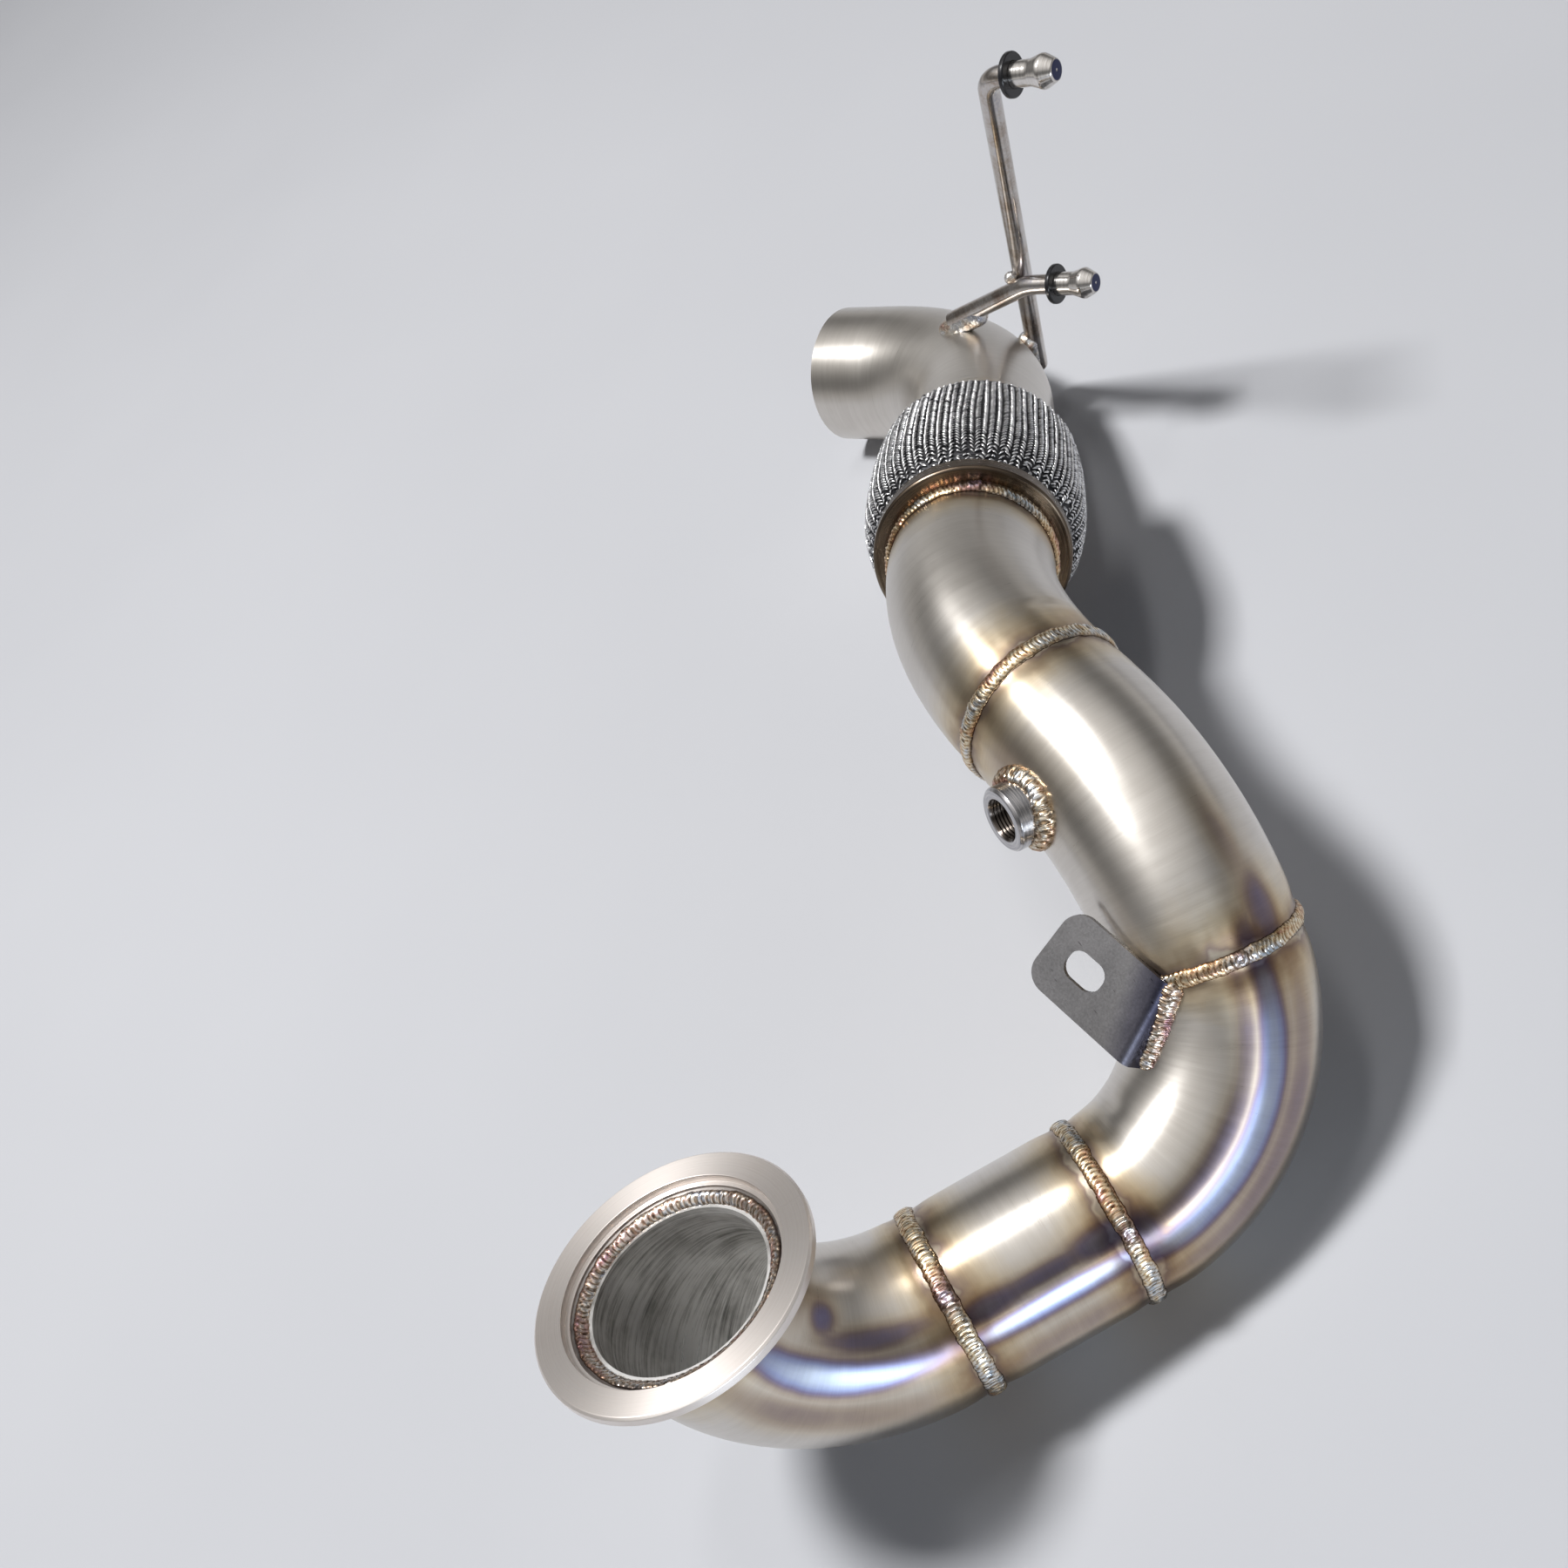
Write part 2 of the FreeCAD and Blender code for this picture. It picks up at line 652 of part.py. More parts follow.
# Bead along the foot of the bracket, on the side away from the plate
plate_round = plate_face.cross(plate_out_x)
skew = math.radians(bracket_fold_skew)
fold_line = plate_round * math.cos(skew) - plate_out_x * math.sin(skew)
fold_away = plate_out_x * math.cos(skew) + plate_round * math.sin(skew)
leg_down = fold_away * -math.cos(leg_angle) - plate_face * math.sin(leg_angle)
leg_top = (fold_point - plate_face * leg_bend
           - fold_away * (leg_bend * math.sin(leg_angle))
           + plate_face * (leg_bend * math.cos(leg_angle)))


def leg_foot(offset):
    # Where the outer face of the leg meets the skin of the elbow
    top = leg_top + fold_line * offset
    ray = Part.makeLine(top, top + leg_down * (2.0 * tube_od))
    inside = ray.common(lower_body)
    return min([vertex.Point for vertex in inside.Vertexes], key=lambda point: (point - top).Length)


bead_reach = bracket_width / 2.0 + bracket_bead_overrun
bead_spine = Part.Arc(leg_foot(-bead_reach), leg_foot(0.0), leg_foot(bead_reach))
bead_wire = Part.Wire(bead_spine.toShape())
bead_start = bead_spine.value(bead_spine.FirstParameter)
bead_end = bead_spine.value(bead_spine.LastParameter)
bead_heading = bead_spine.tangent(bead_spine.FirstParameter)[0]
bead_round = Part.Wire(Part.makeCircle(bracket_bead_radius, bead_start, bead_heading))
bracket_bead = bead_wire.makePipeShell([bead_round], True, False)
bracket_bead = bracket_bead.fuse([
    Part.makeSphere(bracket_bead_radius, bead_start),
    Part.makeSphere(bracket_bead_radius, bead_end)])
for neighbour in [lower_body, sensor_body, nodes["seam_weld_3"], nodes["support_bracket"]]:
    bracket_bead = bracket_bead.cut(neighbour)
nodes["bracket_weld"] = max(bracket_bead.Solids, key=lambda solid: solid.Volume)

# Lay the whole pipe down as it rests, floor at zero and centred on the origin
rest = FreeCAD.Placement(
    FreeCAD.Vector(0, 0, 0), FreeCAD.Rotation(rest_yaw, rest_pitch, rest_roll))
for name in nodes:
    laid = nodes[name].copy()
    laid.Placement = rest.multiply(laid.Placement)
    nodes[name] = laid
whole = Part.makeCompound(list(nodes.values())).optimalBoundingBox(False, False)
centre_shift = FreeCAD.Vector(
    -(whole.XMin + whole.XMax) / 2.0, -(whole.YMin + whole.YMax) / 2.0, -whole.ZMin)

os.makedirs("parts", exist_ok=True)
for name, shape in nodes.items():
    shape.translate(centre_shift)
    shape.exportStep("parts/" + name + ".step")
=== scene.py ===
import math

import bpy
import numpy as np
from mathutils import Matrix, Vector


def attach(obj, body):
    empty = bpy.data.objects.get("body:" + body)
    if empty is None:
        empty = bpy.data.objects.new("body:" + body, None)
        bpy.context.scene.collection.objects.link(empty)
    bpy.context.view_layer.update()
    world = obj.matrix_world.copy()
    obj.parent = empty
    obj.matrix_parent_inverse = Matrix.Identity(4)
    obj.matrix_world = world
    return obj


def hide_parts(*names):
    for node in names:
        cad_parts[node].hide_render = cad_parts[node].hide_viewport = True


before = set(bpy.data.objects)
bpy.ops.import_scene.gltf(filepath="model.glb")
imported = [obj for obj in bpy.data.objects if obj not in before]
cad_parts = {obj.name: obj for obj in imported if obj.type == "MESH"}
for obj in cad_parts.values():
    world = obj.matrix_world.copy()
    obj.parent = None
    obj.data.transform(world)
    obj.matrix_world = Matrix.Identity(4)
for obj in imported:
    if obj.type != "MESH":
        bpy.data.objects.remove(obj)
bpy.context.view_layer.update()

# The line of the pipe
# Stainless tube of 76.2 mm, bent on a mandrel and cut into lengths; each length is a
# short straight, a bend and a second straight, and they are butted end to end.
tube_radius = 0.0381
tube_wall = 0.0015
bore_radius = tube_radius - tube_wall

# Lead, bend radius, bend angle, turn of the bend's plane, tail
inlet_run = (0.010, 0.0775, 87.2, 0.0, 0.007)
straight_run = (0.071, 0.0, 0.0, 0.0, 0.0)
lower_run = (0.0032, 0.0803, 84.3, -25.5, 0.0032)
sensor_run = (0.0032, 0.1135, 46.7, -100.1, 0.0263)
upper_run = (0.0032, 0.146, 38.6, -167.2, 0.0133)
outlet_run = (0.0675, 0.1075, 60.4, -18.8, 0.0325)
flex_length = 0.107


def further(place, distance):
    return place @ Matrix.Translation((distance, 0, 0))


def turned_about(place, angle):
    return place @ Matrix.Rotation(math.radians(angle), 4, "X")


def round_bend(place, radius, angle, plane_turn):
    bend = (Matrix.Translation((0, radius, 0))
            @ Matrix.Rotation(math.radians(angle), 4, "Z")
            @ Matrix.Translation((0, -radius, 0)))
    return turned_about(turned_about(place, plane_turn) @ bend, -plane_turn)


def along_run(place, run, travel):
    lead, radius, angle, plane_turn, tail = run
    arc = math.radians(angle) * radius
    if travel <= lead or not radius:
        return further(place, travel)
    if travel <= lead + arc:
        return round_bend(further(place, lead), radius, angle * (travel - lead) / arc, plane_turn)
    return further(round_bend(further(place, lead), radius, angle, plane_turn), travel - lead - arc)


def run_length(run):
    return run[0] + math.radians(run[2]) * run[1] + run[4]


# The pipe lies on the lower elbow's back, the outlet elbow and the outlet tube
inlet_face = (Matrix.Translation((-0.175138, -0.246533, 0.146842))
              @ Matrix.Rotation(math.radians(-117.8), 4, "Z")
              @ Matrix.Rotation(math.radians(75.6), 4, "Y")
              @ Matrix.Rotation(math.radians(-29.2), 4, "X"))
seam_1 = along_run(inlet_face, inlet_run, run_length(inlet_run))
seam_2 = further(seam_1, straight_run[0])
seam_3 = along_run(seam_2, lower_run, run_length(lower_run))
seam_4 = along_run(seam_3, sensor_run, run_length(sensor_run))
seam_5 = along_run(seam_4, upper_run, run_length(upper_run))
seam_6 = further(seam_5, flex_length)


# Inlet ring
# A V-band ring turned from bar: flat face, a register and a lip inside it, and a tapered
# back for the clamp; the first elbow sits in its hub and is welded from the inside.
class Finish:
    def __init__(self, name, metallic, roughness, across_grain=0.0):
        self.material = bpy.data.materials.new(name)
        self.material.use_nodes = True
        self.tree = self.material.node_tree
        self.shader = self.tree.nodes["Principled BSDF"]
        self.shader.inputs["Metallic"].default_value = metallic
        self.shader.inputs["Roughness"].default_value = roughness
        if across_grain:
            # Brushing spreads a highlight square to its scratches
            self.shader.inputs["Anisotropic"].default_value = across_grain
            settings = {"direction_type": "UV_MAP", "uv_map": "grain"}
            self.tree.links.new(self.add("ShaderNodeTangent", settings).outputs[0],
                                self.shader.inputs["Tangent"])

    def add(self, kind, settings=None, **values):
        node = self.tree.nodes.new(kind)
        for key, value in (settings or {}).items():
            setattr(node, key, value)
        for key, value in values.items():
            self.plug(node.inputs[int(key[1:]) if key[1:].isdigit() else key], value)
        return node

    def plug(self, socket, value):
        if isinstance(value, bpy.types.NodeSocket):
            self.tree.links.new(value, socket)
        elif socket.type == "RGBA":
            socket.default_value = (*value, 1.0)
        else:
            socket.default_value = value

    def mark(self, name, output="Fac"):
        return self.add("ShaderNodeAttribute", {"attribute_name": name}).outputs[output]

    def work(self, kind, one, two):
        return self.add("ShaderNodeMath", {"operation": kind}, _0=one, _1=two).outputs[0]

    def plus(self, one, two):
        return self.work("ADD", one, two)

    def times(self, one, two):
        return self.work("MULTIPLY", one, two)

    def noise(self, place, stretch, detail=3.0, roughness=0.55):
        stretched = self.add("ShaderNodeVectorMath", {"operation": "MULTIPLY"}, _0=place, _1=stretch)
        return self.add("ShaderNodeTexNoise", None, Vector=stretched.outputs[0], Scale=1.0,
                        Detail=detail, Roughness=roughness).outputs[0]

    def colours(self, value, stops):
        ramp = self.add("ShaderNodeValToRGB", None, _0=value)
        band = ramp.color_ramp
        band.elements.remove(band.elements[1])
        band.elements[0].position = stops[0][0]
        band.elements[0].color = (*stops[0][1], 1.0)
        for place, colour in stops[1:]:
            band.elements.new(place).color = (*colour, 1.0)
        return ramp.outputs[0]

    def tinted(self, one, two, share=1.0, kind="MULTIPLY"):
        settings = {"data_type": "RGBA", "blend_type": kind}
        return self.add("ShaderNodeMix", settings, _0=share, _6=one, _7=two).outputs[2]

    def between(self, value, low, high, new_low=0.0, new_high=1.0):
        return self.add("ShaderNodeMapRange", None, _0=value, _1=low, _2=high, _3=new_low,
                        _4=new_high).outputs[0]

    def dress(self, colour, gloss=None, relief=None, depth=0.00003, strength=0.5):
        self.tree.links.new(colour, self.shader.inputs["Base Color"])
        if gloss is not None:
            self.tree.links.new(gloss, self.shader.inputs["Roughness"])
        if relief is not None:
            bump = self.add("ShaderNodeBump", None, Strength=strength, Distance=depth, Height=relief)
            self.tree.links.new(bump.outputs[0], self.shader.inputs["Normal"])
        return self.material


def shape_piece(name, points, faces, finish, stands_for=(), marks=None, grain=None):
    mesh = bpy.data.meshes.new(name)
    mesh.vertices.add(len(points))
    mesh.vertices.foreach_set("co", np.asarray(points, np.float32).ravel())
    mesh.loops.add(faces.size)
    mesh.loops.foreach_set("vertex_index", faces.astype(np.int32).ravel())
    mesh.polygons.add(len(faces))
    mesh.polygons.foreach_set("loop_start", np.arange(0, faces.size, faces.shape[1], dtype=np.int32))
    for mark, values in (marks or {}).items():
        values = np.asarray(values, np.float32)
        vector = values.ndim == 2
        layer = mesh.attributes.new(mark, "FLOAT_VECTOR" if vector else "FLOAT", "POINT")
        layer.data.foreach_set("vector" if vector else "value", values.ravel())
    if grain is not None:
        mesh.uv_layers.new(name="grain").data.foreach_set("uv", grain.astype(np.float32).ravel())
    mesh.update(calc_edges=True)
    mesh.shade_smooth()
    mesh.materials.append(finish)
    piece = bpy.data.objects.new(name, mesh)
    bpy.context.scene.collection.objects.link(piece)
    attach(piece, "root")
    if stands_for:
        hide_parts(*stands_for)
    return piece


def net(rows, columns, close_rows=True, close_columns=True):
    # Faces between rows of points, and the map that follows the rows and columns
    a, b = np.meshgrid(np.arange(rows - (not close_rows)), np.arange(columns - (not close_columns)),
                       indexing="ij")
    corners = [(a, b), (a, b + 1), (a + 1, b + 1), (a + 1, b)]
    faces = np.stack([(i % rows) * columns + j % columns for i, j in corners], -1).reshape(-1, 4)
    grain = np.stack([np.stack([i / rows, j / columns], -1) for i, j in corners], -2)
    return faces, grain.reshape(-1, 4, 2)


def full_turn(count):
    return np.linspace(0.0, 2.0 * math.pi, count, endpoint=False)


def placed(local, place):
    here = np.array(place)
    return local @ here[:3, :3].T + here[:3, 3]


def turned_piece(name, place, profile, finish, stands_for=(), around=144, edge=0.0003,
                 trim=None, plain=()):
    # Revolves (along, radius) pairs round a line; each corner is slightly rounded, except
    # those counted in plain
    corners = [Vector(p) for p in profile]
    line = []
    for i, corner in enumerate(corners):
        before, after = corners[i - 1] - corner, corners[(i + 1) % len(corners)] - corner
        if i in plain:
            line.append(corner)
            continue
        cut = min(edge, before.length * 0.4, after.length * 0.4)
        first, last = corner + before.normalized() * cut, corner + after.normalized() * cut
        line += [first.lerp(corner, s).lerp(corner.lerp(last, s), s) for s in (0.0, 0.33, 0.67, 1.0)]
    line = np.array(line)
    turn = full_turn(around)
    along = np.repeat(line[:, 0], around)
    radius = np.repeat(line[:, 1], around)
    turns = np.tile(turn, len(line))
    if trim:
        along, radius = trim(along, radius, turns)
    local = np.stack([along, radius * np.cos(turns), radius * np.sin(turns)], -1)
    lathe = np.stack([along, radius, turns * 0.04], -1)
    faces, grain = net(len(line), around)
    piece = shape_piece(name, placed(local, place), faces, finish, stands_for,
                        {"unbent": lathe}, grain)
    piece.modifiers.new("even_shading", "WEIGHTED_NORMAL").keep_sharp = True
    return piece


ring_steel = Finish("ring_steel", 1.0, 0.36, 0.55)
ring_place = ring_steel.mark("unbent", "Vector")
turning = ring_steel.noise(ring_place, (1600.0, 1600.0, 16.0), 3.0, 0.6)
ring_cloud = ring_steel.noise(ring_place, (30.0, 30.0, 45.0), 4.0, 0.6)
ring_tone = ring_steel.plus(ring_steel.times(turning, 0.45), ring_steel.times(ring_cloud, 0.55))
ring_steel.dress(
    ring_steel.colours(ring_tone, [
        (0.32, (0.68, 0.625, 0.585)), (0.52, (0.82, 0.765, 0.725)), (0.72, (0.90, 0.855, 0.82))]),
    ring_steel.between(ring_tone, 0.3, 0.75, 0.46, 0.36), turning, 0.00003, 0.5)

ring_profile = [
    (0.0, 0.0459), (0.0, 0.0565), (0.0010, 0.0575), (0.0042, 0.0575), (0.0080, 0.0440),
    (0.0100, 0.0420), (0.0100, 0.0381), (0.0075, 0.0381), (0.0058, 0.0429), (0.0048, 0.0439),
    (0.0036, 0.0439), (0.0036, 0.0459)]
turned_piece("inlet_ring", inlet_face, ring_profile, ring_steel.material,
             ["inlet_flange"], around=192)

# Tubes
# Satin stainless, brushed round the tube. Welding has tinted it straw and brown beside the
# seams, and violet and blue wherever the heat stayed longest.
satin = Finish("satin_steel", 1.0, 0.27, 0.62)
unbent = satin.mark("unbent", "Vector")
brush = satin.noise(unbent, (2600.0, 70.0, 70.0), 4.0, 0.6)
coarse = satin.noise(unbent, (420.0, 24.0, 24.0), 2.0)
cloud = satin.noise(unbent, (34.0, 34.0, 34.0), 3.0)
tone = satin.plus(satin.plus(satin.times(brush, 0.30), satin.times(coarse, 0.25)),
                  satin.times(cloud, 0.45))
# Tint beside the seams, its edge wandering with the torch
wander = satin.noise(unbent, (46.0, 46.0, 46.0), 3.0, 0.6)
seam_gap = satin.plus(satin.mark("from_seam"), satin.times(satin.plus(wander, -0.5), 0.020))
seam_tint = satin.colours(satin.between(seam_gap, 0.0015, 0.026, 1.0, 0.0), [
    (0.0, (1.0, 1.0, 1.0)),
    (0.30, (1.0, 0.96, 0.88)),
    (0.58, (0.90, 0.80, 0.63)),
    (0.76, (0.64, 0.52, 0.38)),
    (0.88, (0.42, 0.33, 0.29)),
    (0.94, (0.72, 0.65, 0.55)),
    (1.0, (0.50, 0.45, 0.40))])
# Wider patches where the tube ran hot
drift = satin.noise(unbent, (30.0, 30.0, 30.0), 3.0)
hot = satin.plus(satin.mark("blued"), satin.times(satin.plus(drift, -0.5), 0.26))
hot_tint = satin.colours(hot, [
    (0.06, (1.0, 1.0, 1.0)),
    (0.24, (0.96, 0.91, 0.83)),
    (0.40, (0.72, 0.63, 0.55)),
    (0.52, (0.44, 0.37, 0.40)),
    (0.63, (0.33, 0.31, 0.50)),
    (0.76, (0.44, 0.52, 0.84)),
    (0.88, (0.66, 0.77, 0.97)),
    (1.0, (0.80, 0.86, 0.96))])
steel = satin.colours(tone, [
    (0.34, (0.58, 0.545, 0.50)), (0.50, (0.64, 0.605, 0.56)), (0.66, (0.70, 0.665, 0.62))])
satin_steel = satin.dress(
    satin.tinted(satin.tinted(seam_tint, hot_tint), steel),
    satin.between(tone, 0.34, 0.66, 0.27, 0.32),
    satin.plus(brush, satin.times(coarse, 0.6)), 0.00003, 0.22)

# The wall inside is darker, with open circular scratches from the polishing head
scratched = Finish("scratched_bore", 0.45, 0.30, 0.4)
bore_place = scratched.mark("unbent", "Vector")
scratch = scratched.noise(bore_place, (900.0, 26.0, 26.0), 5.0, 0.72)
bore_cloud = scratched.noise(bore_place, (50.0, 42.0, 42.0), 4.0, 0.6)
bore_tone = scratched.plus(scratched.times(scratch, 0.7), scratched.times(bore_cloud, 0.5))
scratched_bore = scratched.dress(
    scratched.colours(bore_tone, [
        (0.44, (0.26, 0.255, 0.24)), (0.54, (0.56, 0.55, 0.53)), (0.64, (0.86, 0.85, 0.83)),
        (0.80, (0.95, 0.95, 0.94))]),
    scratched.between(bore_tone, 0.35, 0.85, 0.40, 0.24), scratch, 0.0001, 0.7)


def bent_tube(name, node, place, run, hot_spots=(), drawn=(True, True), dents=()):
    """Outside skin, rim and bore of one length; drawn says which ends are welded. Spots and
    dents give a centre along the length and degrees from the inside of the bend, a size in
    each direction, and a strength or a depth."""
    around = 120
    total = run_length(run)
    ends = np.array([0.0, 0.0012, 0.0024, 0.0036, 0.005, 0.0065, 0.008, 0.010, 0.0125])
    end_zone, spacing = 0.0155, 0.0024
    middle = np.linspace(end_zone, total - end_zone, max(6, int((total - 2.0 * end_zone) / spacing)))
    travels = np.concatenate([ends, middle, total - ends[::-1]])
    turn = full_turn(around)
    from_side = np.degrees(turn) - run[3]
    points, unbent_points, seam_gaps, heats = [], [], [], []
    for wall_radius, order in ((tube_radius, travels), (bore_radius, travels[::-1])):
        for travel in order:
            gap = min(travel if drawn[0] else 1.0, total - travel if drawn[1] else 1.0)
            # The ends shrink a little as the weld cools
            reach = np.full(around, wall_radius - 0.0005 * math.exp(-((gap - 0.0048) / 0.0042) ** 2))
            heat = np.zeros(around)
            for centre, side, size, wide, depth in dents:
                swing = (from_side - side + 180.0) % 360.0 - 180.0
                reach -= depth * np.exp(-((travel - centre) / size) ** 2 - (swing / wide) ** 2)
            for centre, side, size, wide, strength in hot_spots:
                swing = (from_side - side + 180.0) % 360.0 - 180.0
                spot = ((travel - centre) / size) ** 2 + (swing / wide) ** 2
                heat = np.maximum(heat, strength / (1.0 + spot ** 1.6))
            local = np.stack([np.zeros(around), reach * np.cos(turn), reach * np.sin(turn)], -1)
            points.append(placed(local, along_run(place, run, travel)))
            unbent_points.append(local + (travel + place.translation.x * 3.0, 0.0, 0.0))
            seam_gaps.append(np.full(around, gap))
            heats.append(heat)
    rows = len(points)
    faces, grain = net(rows, around)
    marks = {"unbent": np.concatenate(unbent_points), "from_seam": np.concatenate(seam_gaps),
             "blued": np.concatenate(heats)}
    mesh = shape_piece(name, np.concatenate(points), faces, satin_steel, [node],
                       marks, grain).data
    mesh.materials.append(scratched_bore)
    half = rows // 2
    inside = np.arange(len(mesh.polygons)) // around >= half - 1
    mesh.polygons.foreach_set("material_index", inside.astype(np.int32))
    ends_of_edges = np.empty(len(mesh.edges) * 2, np.int32)
    mesh.edges.foreach_get("vertices", ends_of_edges)
    edge_rows = ends_of_edges.reshape(-1, 2) // around
    rims = np.isin(edge_rows[:, 0], (0, half - 1, half, rows - 1))
    rims = rims & (edge_rows[:, 0] == edge_rows[:, 1])
    mesh.attributes.new("sharp_edge", "BOOLEAN", "EDGE").data.foreach_set("value", rims)


# Inlet elbow: a tight bend seated in the ring's hub, violet half way round its outside
tube_seat = 0.0075
seated_run = (inlet_run[0] - tube_seat, *inlet_run[1:])
bent_tube("inlet_elbow_tube", "inlet_elbow", further(inlet_face, tube_seat), seated_run,
          hot_spots=[(0.050, 34.0, 0.012, 12.0, 0.64), (0.084, 46.0, 0.044, 9.0, 0.60),
                     (0.058, 66.0, 0.080, 12.0, 0.84), (0.10, 12.0, 0.02, 16.0, 0.30),
                     (0.060, 92.0, 0.08, 14.0, 0.44), (0.030, 20.0, 0.016, 40.0, 0.36)])

# Straight tube: violet along its lower half, where the two seams' heat met
bent_tube("straight_run_tube", "straight_tube", seam_1, straight_run,
          hot_spots=[(0.062, 53.0, 0.020, 11.0, 0.68), (0.012, 55.0, 0.022, 10.0, 0.64),
                     (0.036, 54.0, 0.060, 7.0, 0.58), (0.034, 71.0, 0.060, 9.0, 0.78),
                     (0.036, 98.0, 0.06, 14.0, 0.46)])

# Lower elbow: the tightest bend; its outside ran hot and is blue from end to end
bent_tube("lower_elbow_tube", "lower_elbow", seam_2, lower_run,
          hot_spots=[(0.006, 88.0, 0.010, 20.0, 0.70), (0.060, 86.0, 0.090, 9.0, 0.56),
                     (0.062, 102.0, 0.090, 11.0, 0.86), (0.060, 124.0, 0.09, 14.0, 0.50)],
          dents=[(0.020, 18.0, 0.006, 16.0, 0.0016), (0.034, 10.0, 0.007, 14.0, 0.0011)])

# Sensor bend: a wide bend for the bung, with a dark violet patch beside its first seam
bent_tube("sensor_bend_tube", "sensor_bend", seam_3, sensor_run,
          hot_spots=[(0.010, -168.0, 0.016, 14.0, 0.66), (0.030, -172.0, 0.020, 10.0, 0.44),
                     (0.006, 176.0, 0.009, 10.0, 0.60), (0.090, 106.0, 0.022, 26.0, 0.40)])

# Upper bend: the last bend before the flex joint, with a small crease on its inside
bent_tube("upper_bend_tube", "upper_bend", seam_4, upper_run,
          dents=[(0.0205, -89.0, 0.0018, 17.0, 0.0011), (0.0125, -85.0, 0.005, 16.0, 0.0008)],
          hot_spots=[(0.012, -30.0, 0.012, 70.0, 0.38)])

# Outlet elbow: the tail behind the flex joint, cut square at its end for a sleeve
bent_tube("outlet_elbow_tube", "outlet_elbow", seam_6, outlet_run, drawn=(True, False))

# Weld beads
# Laid by hand with filler rod: each dab of the rod leaves a ripple like a row of coins,
# silver where the gas shielded it and gold, copper or blue where it did not.
bead = Finish("rippled_bead", 1.0, 0.22)
laid_place = bead.mark("laid", "Vector")
bead_shade = bead.mark("bead_shade")
dab = bead.noise(laid_place, (150.0, 300.0, 1.0), 3.0, 0.65)
slow = bead.noise(laid_place, (26.0, 90.0, 1.0), 2.0)
bead_mix = bead.plus(bead.times(dab, 0.45), bead.times(slow, 0.62))
bead_gold = bead.colours(bead_mix, [
    (0.38, (0.40, 0.48, 0.56)), (0.46, (0.70, 0.70, 0.68)), (0.53, (0.78, 0.69, 0.51)),
    (0.60, (0.71, 0.53, 0.34)), (0.67, (0.64, 0.38, 0.29)), (0.76, (0.44, 0.28, 0.34))])
bead_violet = bead.colours(bead_mix, [
    (0.40, (0.46, 0.52, 0.72)), (0.50, (0.72, 0.71, 0.74)), (0.58, (0.46, 0.36, 0.44)),
    (0.68, (0.30, 0.22, 0.36)), (0.80, (0.58, 0.30, 0.32))])
bead_colour = bead.tinted(bead_gold, bead_violet, bead.mark("violet"), "MIX")
# Darker in the valleys between ripples, at the toes and round the tie-ins: painted shade, passing
# through brown as it fades
bead_shade_colour = bead.colours(bead_shade, [
    (0.0, (1.0, 1.0, 1.0)), (0.35, (0.70, 0.58, 0.46)), (1.0, (0.09, 0.06, 0.05))])
fine_pits = bead.noise(laid_place, (1400.0, 1400.0, 1.0), 3.0, 0.6)
rippled_bead = bead.dress(
    bead.tinted(bead_colour, bead_shade_colour), bead.between(dab, 0.3, 0.7, 0.14, 0.32),
    fine_pits, 0.00005, 0.4)


def waver(value, seed):
    # A slow unevenness between -1 and 1, as of work guided by hand
    return (np.sin(value + seed) + np.sin(value * 2.3 + seed * 2.7)
            + np.sin(value * 5.1 + seed * 4.1)) / 3.0


